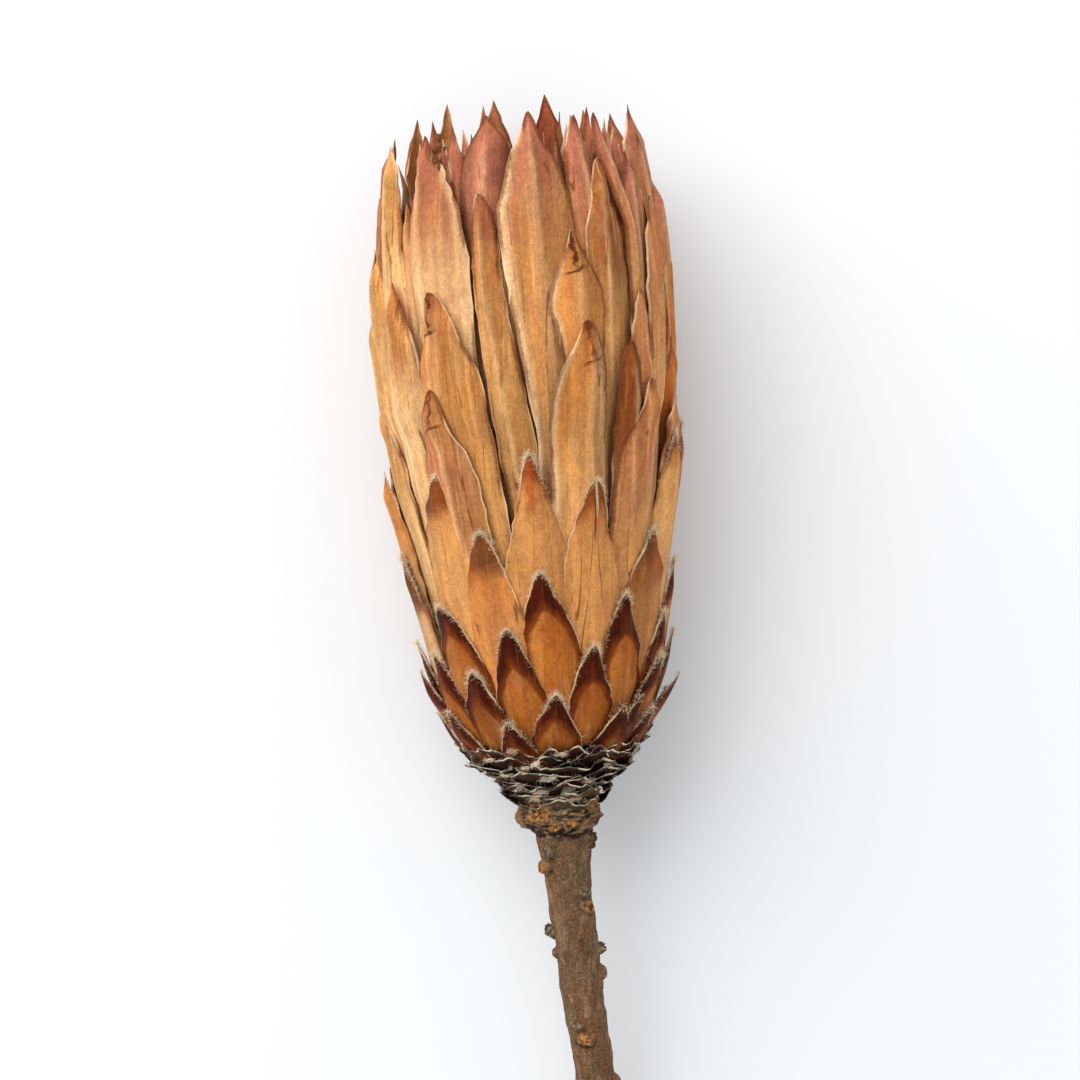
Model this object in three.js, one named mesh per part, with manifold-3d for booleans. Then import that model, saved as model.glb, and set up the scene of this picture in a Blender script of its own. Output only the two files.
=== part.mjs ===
// A dried sugarbush protea, cut with a short length of stem and lying on its side.
// Millimetres, +Z up, resting on Z = 0, with the flower's tip towards +Y.
//
// Every piece is drawn in the flower's own frame: the axis is Y, height 0 is where the head
// meets the stem, the tip is at about height 110, and azimuth 0 faces up. A group then leans
// that frame back on the belly of the head and the end of the stem.

import * as THREE from 'three';
import { mergeVertices } from 'three/addons/utils/BufferGeometryUtils.js';
import Module from 'manifold-3d';

const wasm = await Module();
wasm.setup();

// ---- driving dimensions ----

const LEAN = THREE.MathUtils.degToRad(5); // the head's axis rises towards the tip
const NECK = { x: 0, y: -5.8, z: 18 }; // where height 0 lies above the surface
const FIT = 0.3; // gap between neighbouring pieces
const GRAIN = 0.05; // details finer than this are left out
const SIDES = 20; // around the head's cores

// Outer radius of the head at each height, from the neck to the tips.
const HEAD_RADIUS = [
  [0, 7], [3, 10.6], [8, 15], [14, 18.2], [25, 19.8], [40, 21.8], [52, 23.5],
  [66, 24.1], [80, 23.7], [90, 22.7], [100, 21], [112, 18.6],
];

// How much of the stack of bracts has ended by each height. A bract whose tip is at height t
// lies, at height h, this depth at t less this depth at h under the outer radius.
const STACK_DEPTH = [
  [0, 0], [13, 0], [17, 0.8], [24, 1.6], [34, 2.4], [48, 3.2], [57, 3.7],
  [62, 5], [70, 5.5], [82, 6.3], [96, 7.1], [112, 7.9],
];

const OUTER_TIPS = 58; // bracts that end below this belong to the short outer rows
const BRACT_THICK = 0.7;
const BRACT_FOOT = 7; // no bract starts below this height
const BRACT_WIDTH = [[10, 7], [17, 8.2], [24, 9], [33, 10], [50, 10.4], [75, 12], [95, 13], [112, 13]];
const BRACT_TAPER = [[10, 8], [17, 9.5], [24, 11.5], [33, 13], [50, 16], [75, 18], [95, 20], [112, 21]];
const BRACT_VISIBLE = [[10, 5], [17, 11], [24, 16], [33, 24], [50, 34], [57, 40], [75, 44], [112, 46]];

// The bracts that face up, as [azimuth of the tip in degrees, height of the tip, lean, share]:
// lean is how far, in degrees, the blade's middle has turned by the time it is buried, and
// share is its width against what is usual at that height.
const FRONT_BRACTS = [
  [-85, 13.4, 0, 1], [-62, 14.4, 0, 1], [37, 14.7, 0, 1], [62, 13.6, 0, 1], [3, 17.2, 0, 1], [88, 15, 0, 1],
  [-22, 14.2, 0, 1], [82, 17.6, 0, 0.8], [-36, 21.3, 0, 1], [-80, 20.6, 0, 0.9], [64, 21.2, 0, 1], [-62, 24, 0, 1],
  [-88, 25, 0, 1], [88, 24.4, 0, 1], [21, 24.7, 0, 1], [-16, 27.8, 2, 1], [69, 28, 0, 1], [-49, 31.8, 2, 1],
  [39, 32, 0, 1], [87, 35.6, 0, 1], [0, 36.4, 2, 1], [-82, 39.2, 0, 1], [-23, 43, 2, 1], [56, 41.3, 0, 1],
  [-62, 46, 0, 1], [24, 50.5, -2, 1], [-40, 52.8, 0, 1], [-88, 52.8, 0, 0.8], [-2, 55.4, 2, 1], [84, 56.8, 0, 1],
  [75, 62, 0, 1], [-86, 64, 0, 0.9], [-36, 65.9, 3, 1], [51, 65.3, -3, 1], [41, 71.4, -2, 0.8], [86, 71.4, 0, 1],
  [25, 74.8, -13, 1], [-85, 78.4, 0, 1], [50, 79.4, -3, 1], [-36, 80.8, 6, 1], [3, 77, 0, 1], [-64, 82, 2, 1],
  [86, 87, 0, 1], [-86, 88.2, 0, 1], [20, 89.2, -5, 1], [70, 93.5, -2, 1], [-13, 95.5, 12, 0.64], [87, 97, 0, 1],
  [38, 99.4, -2, 1], [76, 101.6, 0, 0.9], [-80, 103.8, 0, 0.9], [61, 103.5, 0, 1], [-42, 104.9, 6, 1.1],
  [8, 107.6, -4, 1], [80, 108, 0, 0.6], [-12, 108.3, 4, 1], [29, 106.8, 0, 1], [45, 107.6, -4, 0.9], [-62, 107, 0, 0.9],
];

// The bracts that face down and away go in rows, each turned half a step from the last.
const BACK_ROWS = {
  heights: [13, 18, 24, 32, 42, 53, 65, 77, 89, 99, 107],
  count: 4, // and one more in every other row
  step: 38,
  middle: 180,
  turnJitter: 5,
  heightJitter: 2.4,
};

// Tips that stand behind the front ones at the mouth.
const INNER_TIPS = [
  [155, 111, 0, 0.8], [191, 110.4, 0, 0.8], [227, 110.4, 0, 0.8], [211, 107.6, 0, 0.7], [128, 107.4, 0, 0.8], [100, 107.6, 0, 0.8],
];

const CORE = {
  skin: 0.9, // from a bract's middle to the solid under it
  reach: 20, // a bract lies free of the core for about this much past its neighbours
  wall: 1.8, // of the sleeve round the florets
  floor: 21, // height of the floor of that sleeve
  rim: 84, // height of its mouth
  collar: 17, // height of the rim of the short outer rows' bowl
  bowlInset: [[8, 0.4], [11, 0.5], [14, 0.9], [17, 1.2]], // from the outer radius to the bowl, by height
};

const PEG = { radius: 5, top: 12 }; // the woody end of the stem inside the head

const FLORETS = {
  shoulder: 78, dome: 88, tip: 101, rings: [[0, 1], [4, 7], [8, 13], [12, 19], [15.5, 25]],
  thick: 2.2, root: 70, spread: 1.5,
};

// The withered scales fill a cone under the lowest bracts, up to a slope given as [radius, height].
const NECK_SLOPE = [[0, 3.7], [6.4, 3.7], [17, 9.9], [30, 17.5]];
const NECK_SCALES = {
  rings: [[-1, 7.7, 7], [1.2, 9.9, 8], [3.6, 12, 9], [6.2, 14, 10], [8.4, 15.2, 10]], // height, reach and count
  width: 8.4, thick: 0.8, foot: -2.2,
};

const STEM = {
  length: 100,
  sway: 0.00125, // sideways bend, per millimetre of height squared
  sag: 0.00063, // downward bend
  sides: 12,
  ring: 3,
  cutSlant: 0.35,
};
const STEM_RADIUS = [
  [-100, 3.5], [-60, 3.35], [-45, 3.4], [-35, 3.7], [-25, 3.85], [-17, 4.1], [-11, 4.7],
  [-8.5, 5.5], [-5.5, 6.3], [-3.6, 6.3], [-2.6, 5.8],
];
// Leaf scars and swellings, as [height, azimuth in degrees, how proud, how wide].
const KNOBS = [
  [-4.6, -20, 1, 2], [-5.8, -78, 1.1, 1.5], [-3.6, 62, 0.9, 1.6], [-6.6, 70, 0.8, 1.4], [-5, 150, 1, 2],
  [-5.4, 215, 0.9, 1.8], [-11.5, -50, 0.5, 1.5], [-13.6, -58, 0.9, 1.6], [-10, 75, 1, 1.2], [-17.5, 20, 0.7, 1.7],
  [-19.5, 38, 0.6, 1.9], [-27.5, -86, 0.6, 1.2], [-31, 84, 0.8, 1.5], [-40.5, -8, 0.9, 1.9], [-23, 170, 0.8, 1.8],
  [-35, 215, 0.7, 1.7], [-50, 95, 0.8, 1.9], [-58, -50, 0.8, 1.8], [-67, 160, 0.7, 1.8], [-76, 25, 0.9, 2], [-87, -110, 0.8, 1.8],
];
// Broken twig ends, as [height, azimuth in degrees, length, radius].
const STUBS = [[-24.5, -88, 1.4, 1], [-28, 84, 1.2, 0.9], [-52, 150, 1.4, 1], [-71, -75, 1.6, 1]];

// ---- rules ----

// A smooth curve through points [x, y] that rise in x.
function along(points, x) {
  const last = points.length - 1;
  if (x <= points[0][0]) return points[0][1];
  if (x >= points[last][0]) return points[last][1];
  const i = points.findIndex((p) => p[0] > x) - 1;
  const slope = (k) => {
    const a = points[Math.max(k - 1, 0)];
    const b = points[Math.min(k + 1, last)];
    return (b[1] - a[1]) / (b[0] - a[0]);
  };
  const [x0, y0] = points[i];
  const [x1, y1] = points[i + 1];
  const width = x1 - x0;
  const t = (x - x0) / width;
  const hold = t * t * (3 - 2 * t);
  const bend = t * (1 - t) * width;
  return y0 + (y1 - y0) * hold + bend * ((1 - t) * slope(i) - t * slope(i + 1));
}

// The same draw from 0 to 1 for the same seed.
function draw(seed) {
  const x = Math.sin(seed * 12.9898) * 43758.5453;
  return x - Math.floor(x);
}

function straight(points, x) {
  const i = Math.min(Math.max(points.findIndex((p) => p[0] > x), 1), points.length - 1);
  const past = x >= points[points.length - 1][0];
  const [a, b] = [points[i - 1], points[i]];
  return past ? points[points.length - 1][1] : a[1] + ((b[1] - a[1]) * (Math.max(x, a[0]) - a[0])) / (b[0] - a[0]);
}

const headRadius = (height) => along(HEAD_RADIUS, height);
const stackDepth = (height) => straight(STACK_DEPTH, height);
const layerRadius = (height, tip) => headRadius(height) - stackDepth(tip) + stackDepth(Math.min(height, tip));
const innerLayer = (height) => layerRadius(height, HEAD_RADIUS.at(-1)[0]);

// The solid under the tall bracts lies inside the layer that ends CORE.reach higher up.
function tallCoreRadius(height) {
  const covered = Math.max(stackDepth(height + CORE.reach), stackDepth(60));
  return headRadius(height) - covered + stackDepth(height) - CORE.skin;
}

const sleeveRadius = (height) => innerLayer(height) - CORE.skin - CORE.wall;

function at(azimuth, height, radius) {
  return new THREE.Vector3(radius * Math.sin(azimuth), height, radius * Math.cos(azimuth));
}

function backBracts() {
  const made = [];
  BACK_ROWS.heights.forEach((height, row) => {
    const count = BACK_ROWS.count + (row % 2);
    for (let i = 0; i < count; i++) {
      const seed = row * 5 + i + 1;
      const turn = (i - (count - 1) / 2) * BACK_ROWS.step;
      const azimuth = BACK_ROWS.middle + turn + (draw(seed) - 0.5) * BACK_ROWS.turnJitter;
      made.push([azimuth, height + (draw(seed + 100) - 0.5) * BACK_ROWS.heightJitter, 0, 1]);
    }
  });
  return made;
}

const bracts = [...FRONT_BRACTS, ...backBracts(), ...INNER_TIPS];

// ---- solids ----

function solid(geometry) {
  const bare = new THREE.BufferGeometry();
  bare.setAttribute('position', geometry.getAttribute('position'));
  bare.setIndex(geometry.index);
  const merged = mergeVertices(bare, 1e-4);
  const made = new wasm.Manifold(
    new wasm.Mesh({
      numProp: 3,
      vertProperties: new Float32Array(merged.attributes.position.array),
      triVerts: new Uint32Array(merged.index.array),
    }),
  );
  return made;
}

// A closed body through rings of equal count, with a point at the far end if tip is given.
function loft(rings, tip) {
  const n = rings[0].length;
  const points = [...rings.flat(), ...(tip ? [tip] : [])];
  const faces = [];
  for (let k = 0; k + 1 < rings.length; k++) {
    for (let j = 0; j < n; j++) {
      const [a, b] = [k * n + j, k * n + ((j + 1) % n)];
      faces.push(a, b, b + n, a, b + n, a + n);
    }
  }
  for (let j = 1; j + 1 < n; j++) faces.push(0, j + 1, j);
  const top = (rings.length - 1) * n;
  if (tip) {
    for (let j = 0; j < n; j++) faces.push(top + j, top + ((j + 1) % n), points.length - 1);
  } else {
    for (let j = 1; j + 1 < n; j++) faces.push(top, top + j, top + j + 1);
  }
  const geometry = new THREE.BufferGeometry().setFromPoints(points);
  geometry.setIndex(faces);
  return solid(geometry);
}

function turned(profile) {
  const points = profile.map(([radius, height]) => new THREE.Vector2(radius, height));
  return solid(new THREE.LatheGeometry(points, SIDES));
}

// Fuses solids into one body, with no sealed hollow and no loose scrap.
function join(solids) {
  const shells = solids.reduce((whole, next) => whole.add(next)).decompose();
  return shells.reduce((largest, next) => (next.volume() > largest.volume() ? next : largest));
}

// A bract: a pointed blade that follows its layer of the head from where it is buried to its tip.
function bract([tipTurn, tip, lean, share]) {
  const width = along(BRACT_WIDTH, tip) * share;
  const taper = along(BRACT_TAPER, tip);
  const visible = Math.min(along(BRACT_VISIBLE, tip), tip - BRACT_FOOT);
  const turnAt = (height) => THREE.MathUtils.degToRad(tipTurn + (lean * (tip - height)) / visible);
  const rings = [1, 0.62, 0.3, 0.1].map((part) => {
    const height = tip - visible * part;
    const outer = layerRadius(height, tip) - (part === 1 ? BRACT_THICK : 0);
    const inner = outer - BRACT_THICK;
    const half = (width / 2) * Math.sin((Math.PI / 2) * Math.min(1, (tip - height) / taper)) ** 0.8;
    const edge = half / Math.max(outer, 6);
    const turn = turnAt(height);
    return [
      at(turn - edge, height, outer - 0.1),
      at(turn, height, outer + 0.15),
      at(turn + edge, height, outer - 0.1),
      at(turn + edge, height, inner - 0.1),
      at(turn, height, inner),
      at(turn - edge, height, inner - 0.1),
    ];
  });
  return loft(rings, at(turnAt(tip), tip, layerRadius(tip, tip) - BRACT_THICK / 2));
}

// What lies under the slope of the neck, lowered by drop.
function underSlope(drop) {
  const slope = NECK_SLOPE.map(([radius, height]) => [radius, height - drop]);
  return turned([[0, -40], [30, -40], ...slope.reverse()]);
}

function outerBracts() {
  const top = CORE.collar;
  const outside = CORE.bowlInset.map(([height, inset]) => [headRadius(height) - inset, height]);
  const bowl = turned([
    [PEG.radius + FIT, 3], [9, 3], ...outside,
    [tallCoreRadius(top) + FIT * 1.5, top], [12.5, 13], [9.2, 9], [PEG.radius + FIT, 8], [PEG.radius + FIT, 3],
  ]);
  const whole = join([bowl, ...bracts.filter((b) => b[1] < OUTER_TIPS).map(bract)]);
  return join([whole.subtract(underSlope(0))]);
}

function tallBracts() {
  const outside = [20, 27, 34, 42, 50, 58, 66, 75, CORE.rim].map((h) => [tallCoreRadius(h), h]);
  const inside = [CORE.rim, 70, 50, 32, CORE.floor].map((h) => [sleeveRadius(h), h]);
  const sleeve = turned([
    [0, PEG.top + FIT], [PEG.radius + FIT, PEG.top + FIT], [PEG.radius + FIT, 8 + FIT], [9, 9 + FIT],
    [12.1, 13.3], [tallCoreRadius(CORE.collar), CORE.collar], ...outside, ...inside, [0, CORE.floor],
  ]);
  return join([sleeve, ...bracts.filter((b) => b[1] >= OUTER_TIPS).map(bract)]);
}

// The florets stand in rings on a dome that fills the sleeve.
function florets() {
  const side = [CORE.floor + FIT, 32, 50, 70].map((h) => [sleeveRadius(h) - FIT, h]);
  const shoulder = sleeveRadius(FLORETS.shoulder) - FIT;
  const dome = turned([
    [0, CORE.floor + FIT], ...side, [shoulder, FLORETS.shoulder], [shoulder * 0.62, FLORETS.dome - 3], [0, FLORETS.dome],
  ]);
  const spikes = [];
  FLORETS.rings.forEach(([radius, count], ring) => {
    for (let i = 0; i < count; i++) {
      const seed = ring * 40 + i + 500;
      const turn = ((i + (ring % 2) / 2) / count) * 2 * Math.PI;
      const tip = FLORETS.tip - radius * 0.32 + (draw(seed) - 0.5) * 5;
      const lean = radius + FLORETS.spread * (draw(seed + 50) - 0.7);
      const rings = [[FLORETS.root, radius, 1], [tip - 8, (radius + lean) / 2, 0.9]].map(([height, reach, share]) =>
        [0, 1, 2, 3].map((k) => {
          const corner = at((k * Math.PI) / 2, 0, (FLORETS.thick / 2) * share);
          return at(turn, height, reach).add(corner);
        }),
      );
      spikes.push(loft(rings, at(turn, tip, lean * 0.94)));
    }
  });
  return join([dome, ...spikes]);
}

// Withered scale leaves, crowded in wavy rings between the stem and the lowest bracts.
function neckScales() {
  const foot = NECK_SCALES.foot;
  const core = turned([
    [PEG.radius + FIT, foot], [6.4, foot], [7.4, 0.5], [9.6, 3.6], [12, 6.6], [13.4, 9], [PEG.radius + FIT, 9],
    [PEG.radius + FIT, foot],
  ]);
  const scales = [];
  NECK_SCALES.rings.forEach(([height, reach, count], ring) => {
    for (let i = 0; i < count; i++) {
      const seed = ring * 20 + i + 900;
      const turn = ((i + ring * 0.5 + (draw(seed) - 0.5) * 0.3) / count) * 2 * Math.PI;
      const far = reach + (draw(seed + 7) - 0.5) * 1.1;
      const wave = (draw(seed + 13) - 0.5) * 0.7;
      const row = (radius, share, lift) => {
        const edge = (NECK_SCALES.width * share) / 2 / radius;
        const half = NECK_SCALES.thick / 2;
        return [
          at(turn - edge, lift - half - wave, radius),
          at(turn + edge, lift - half + wave, radius),
          at(turn + edge, lift + half + wave, radius),
          at(turn - edge, lift + half - wave, radius),
        ];
      };
      scales.push(loft([row(far - 3.2, 1, height - 1.2), row(far, 0.75, height)]));
    }
  });
  const bore = turned([[0, -40], [PEG.radius + FIT, -40], [PEG.radius + FIT, 40], [0, 40]]);
  const below = turned([[0, -40], [30, -40], [30, foot], [0, foot]]);
  const whole = join([core, ...scales]).subtract(bore).subtract(below).intersect(underSlope(FIT));
  return join([whole]);
}

const stemRadius = (height) => along(STEM_RADIUS, height);
const stemX = (height) => STEM.sway * Math.min(height, 0) ** 2;
const stemZ = (height) => -STEM.sag * Math.min(height, 0) ** 2;

function stemSurface(height, azimuth, slant) {
  let radius = stemRadius(height) + 0.12 * Math.sin(3 * azimuth + height * 0.35) + 0.08 * Math.sin(height * 1.1);
  for (const [h, turn, proud, wide] of KNOBS) {
    const around = Math.atan2(Math.sin(azimuth - THREE.MathUtils.degToRad(turn)), Math.cos(azimuth - THREE.MathUtils.degToRad(turn)));
    const distance = Math.hypot(height - h, around * stemRadius(height));
    radius += proud * Math.exp(-((distance / wide) ** 2));
  }
  const point = at(azimuth, height + slant * radius * Math.cos(azimuth), radius);
  return point.add(new THREE.Vector3(stemX(height), 0, stemZ(height)));
}

function stem() {
  const heights = [];
  for (let h = -STEM.length; h < -2.7; h += h > -16 ? STEM.ring / 2 : STEM.ring) heights.push(h);
  heights.push(STEM_RADIUS.at(-1)[0]);
  const rings = heights.map((height, k) =>
    Array.from({ length: STEM.sides }, (_, j) =>
      stemSurface(height, (j / STEM.sides) * 2 * Math.PI, k === 0 ? STEM.cutSlant : 0),
    ),
  );
  const wood = loft(rings);
  const peg = turned([[0, -6], [PEG.radius, -6], [PEG.radius, PEG.top - 2], [PEG.radius - 1.6, PEG.top], [0, PEG.top]]);
  const stubs = STUBS.map(([height, turn, length, radius]) => {
    const azimuth = THREE.MathUtils.degToRad(turn);
    const base = stemRadius(height);
    const twig = new THREE.CylinderGeometry(radius * 0.9, radius, length + 1.6, 6).toNonIndexed();
    twig.deleteAttribute('normal');
    twig.deleteAttribute('uv');
    const whole = mergeVertices(twig);
    whole.rotateX(Math.PI / 2 - 0.5);
    whole.rotateY(azimuth);
    const middle = at(azimuth, height, base - 1.6 + (length + 1.6) / 2);
    whole.translate(middle.x + stemX(height), middle.y, middle.z + stemZ(height));
    return solid(whole);
  });
  return join([wood, peg, ...stubs]);
}

// ---- the flower, laid down ----

const flower = new THREE.Group();
flower.position.set(NECK.x, NECK.y, NECK.z);
flower.rotation.x = LEAN;
flower.updateMatrix();

// What would reach below the surface is pressed flat: the belly of the head and the end of the stem.
const below = new THREE.BoxGeometry(400, 400, 40);
below.translate(0, 0, -20);
below.applyMatrix4(flower.matrix.clone().invert());
const underSurface = solid(below);

function mesh(name, body, color, roughness) {
  const trimmed = join([body.subtract(underSurface).simplify(GRAIN)]).getMesh();
  const geometry = new THREE.BufferGeometry();
  geometry.setAttribute('position', new THREE.BufferAttribute(trimmed.vertProperties, 3));
  geometry.setIndex(new THREE.BufferAttribute(trimmed.triVerts, 1));
  geometry.computeVertexNormals();
  const made = new THREE.Mesh(geometry, new THREE.MeshStandardMaterial({ color, roughness, metalness: 0 }));
  made.name = name;
  return made;
}

flower.add(
  mesh('stem', stem(), 0x8a6a4c, 0.85),
  mesh('neck_scales', neckScales(), 0x3a2a20, 0.9),
  mesh('outer_bracts', outerBracts(), 0xa8693a, 0.6),
  mesh('tall_bracts', tallBracts(), 0xc98f5a, 0.6),
  mesh('florets', florets(), 0xb98a68, 0.85),
);

const part = new THREE.Group();
part.add(flower);

export default part;
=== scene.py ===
import math
import random
from functools import partial
import bpy
import numpy as np
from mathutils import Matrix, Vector, noise


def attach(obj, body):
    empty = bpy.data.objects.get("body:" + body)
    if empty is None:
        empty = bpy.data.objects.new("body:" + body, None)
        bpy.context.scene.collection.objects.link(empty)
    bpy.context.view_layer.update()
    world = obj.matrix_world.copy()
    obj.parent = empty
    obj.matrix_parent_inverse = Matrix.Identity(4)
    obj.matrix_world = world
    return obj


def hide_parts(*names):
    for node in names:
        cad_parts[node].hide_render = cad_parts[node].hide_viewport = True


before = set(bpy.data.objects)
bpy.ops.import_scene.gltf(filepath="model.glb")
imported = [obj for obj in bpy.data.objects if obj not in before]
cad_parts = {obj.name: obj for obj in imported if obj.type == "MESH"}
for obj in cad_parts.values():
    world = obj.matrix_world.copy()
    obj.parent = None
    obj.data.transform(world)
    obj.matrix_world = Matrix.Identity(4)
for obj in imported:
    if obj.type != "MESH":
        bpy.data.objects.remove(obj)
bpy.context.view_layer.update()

# A dried sugarbush protea lying on its side. Everything is drawn in mm in the flower's own
# frame (y along the head, 0 at its neck, azimuth 0 up) and laid down at the end.

mm = 0.001

flower = {
    "lean": 5,  # degrees, tip up
    "neck": (0, -5.8, 18.0),  # where the neck lies above the table
    "pressed": 0.6,  # what hangs lower than this is pressed flat on the table
    "radius": [(0, 7), (3, 10.6), (8, 15), (14, 18.2), (25, 19.8), (40, 21.8), (52, 23.5),
               (66, 24.1), (80, 23.7), (90, 22.7), (100, 21), (112, 18.6)],
    "depth": [(0, 0), (13, 0), (17, 0.8), (24, 1.6), (34, 2.4), (48, 3.2), (57, 3.7),
              (62, 5), (70, 5.5), (82, 6.3), (96, 7.1), (112, 7.9)],
}


def curve(points, x):
    # smooth curve through the points
    xs, ys = np.array(points, float).T
    x = np.clip(np.asarray(x, float), xs[0], xs[-1])
    last = len(xs) - 1
    low = np.maximum(np.arange(last + 1) - 1, 0)
    high = np.minimum(np.arange(last + 1) + 1, last)
    slope = (ys[high] - ys[low]) / (xs[high] - xs[low])
    i = np.clip(np.searchsorted(xs, x, side="right") - 1, 0, last - 1)
    width = xs[i + 1] - xs[i]
    t = (x - xs[i]) / width
    bend = t * (1 - t) * width * ((1 - t) * slope[i] - t * slope[i + 1])
    return ys[i] + (ys[i + 1] - ys[i]) * t * t * (3 - 2 * t) + bend


def straight(points, x):
    xs, ys = np.array(points, float).T
    return np.interp(x, xs, ys)


def headRadius(height):
    return curve(flower["radius"], height)


def layerRadius(height, tip):
    depth = flower["depth"]
    return headRadius(height) - straight(depth, tip) + straight(depth, np.minimum(height, tip))


def smooth(low, high, x):
    t = np.clip((x - low) / (high - low), 0, 1)
    return t * t * (3 - 2 * t)


def mixColour(a, b, amount):
    amount = np.asarray(amount)[..., None]
    return np.asarray(a) * (1 - amount) + np.asarray(b) * amount


def aroundAxis(azimuth, height, radius):
    return np.stack([radius * np.sin(azimuth), np.broadcast_to(height, np.shape(radius)),
                     radius * np.cos(azimuth)], -1)


def ripple(x, draw, wavelength, waves=3):
    # a smooth irregular wave, about -1 to 1
    total = np.zeros(np.shape(x))
    for k in range(waves):
        step = wavelength * draw.uniform(0.55, 1.6)
        total = total + np.sin(np.asarray(x) * 2 * math.pi / step + draw.uniform(0, 6.28))
    return total / waves * 1.4


def outward(azimuth):
    return np.array([math.sin(azimuth), 0, math.cos(azimuth)])


def layDown(points):
    # from the flower's own frame in mm to the table in metres
    lean = math.radians(flower["lean"])
    x, y, z = np.asarray(points, float).T
    down = np.stack([x + flower["neck"][0],
                     y * math.cos(lean) - z * math.sin(lean) + flower["neck"][1],
                     y * math.sin(lean) + z * math.cos(lean) + flower["neck"][2]], -1)
    p = flower["pressed"]
    low = down[:, 2] < p
    down[low, 2] = p * np.exp((down[low, 2] - p) / p)
    return down * mm


def bandFaces(rings, sides, count=1, inward=False):
    # quads between each ring of points and the next, for so many tubes
    ids = np.arange(count * rings * sides).reshape(count, rings, sides)
    after = np.roll(ids, -1, axis=2)
    corners = [ids[:, :-1], after[:, :-1], after[:, 1:], ids[:, 1:]]
    if inward:
        corners = corners[:1] + corners[:0:-1]
    return np.stack(corners, -1).reshape(-1, 4)


def leafFaces(rows, columns):
    # a closed leaf: an outer grid, an inner grid after it, and a wall round their border
    outer = np.arange(rows * columns).reshape(rows, columns)
    inner = outer + rows * columns
    a = np.stack([outer[:-1, :-1], outer[:-1, 1:], outer[1:, 1:], outer[1:, :-1]], -1).reshape(-1, 4)
    b = np.stack([inner[:-1, :-1], inner[1:, :-1], inner[1:, 1:], inner[:-1, 1:]], -1).reshape(-1, 4)
    ring = np.concatenate([outer[0, :], outer[1:, -1], outer[-1, -2::-1], outer[-2:0:-1, 0]])
    after = np.roll(ring, -1)
    wall = np.stack([after, ring, ring + rows * columns, after + rows * columns], -1)
    return np.concatenate([a, b, wall])


def stacked(outer, under):
    # the outer side of a leaf, then its under side
    return np.concatenate([outer.reshape(-1, 3), under.reshape(-1, 3)])


def twice(values):
    return np.tile(np.ravel(values), 2)


def addObject(name, data):
    made = bpy.data.objects.new(name, data)
    bpy.context.collection.objects.link(made)
    return made


class Pile:
    # gathers pieces of mesh with their marks for one object
    def __init__(self):
        self.points, self.faces, self.marks, self.count = [], [], {}, 0

    def add(self, points, faces, **marks):
        points = np.asarray(points, float).reshape(-1, 3)
        faces = np.asarray(faces, int)
        self.points.append(points)
        self.faces.append(faces + self.count)
        for name, value in marks.items():
            value = np.asarray(value, float)
            if name == "dye":
                value = np.broadcast_to(value, (len(points), 3))
            else:
                value = np.broadcast_to(value.ravel() if value.ndim else value, (len(points),))
            self.marks.setdefault(name, []).append(value)
        self.count += len(points)

    def toObject(self, name, material, nodes, slot, crease=55):
        points = layDown(np.concatenate(self.points))
        faces = np.concatenate(self.faces)
        corners = faces[faces >= 0]
        sizes = (faces >= 0).sum(1)
        mesh = bpy.data.meshes.new(name)
        mesh.vertices.add(len(points))
        mesh.vertices.foreach_set("co", points.ravel())
        mesh.loops.add(len(corners))
        mesh.loops.foreach_set("vertex_index", corners)
        mesh.polygons.add(len(faces))
        mesh.polygons.foreach_set("loop_start", np.concatenate([[0], np.cumsum(sizes)[:-1]]))
        mesh.update(calc_edges=True)
        for mark, parts in self.marks.items():
            values = np.concatenate(parts)
            if mark == "dye":
                colours = np.concatenate([values, np.ones((len(values), 1))], 1)
                layer = mesh.attributes.new("dye", "FLOAT_COLOR", "POINT")
                layer.data.foreach_set("color", colours.ravel())
            else:
                layer = mesh.attributes.new(mark, "FLOAT", "POINT")
                layer.data.foreach_set("value", values)
        mesh.shade_smooth()
        mesh.set_sharp_from_angle(angle=math.radians(crease))
        mesh.materials.append(material)
        made = addObject(name, mesh)
        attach(made, "root")
        if nodes:
            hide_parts(*nodes)
        print(name, len(points), "points", len(faces), "faces")


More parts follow.
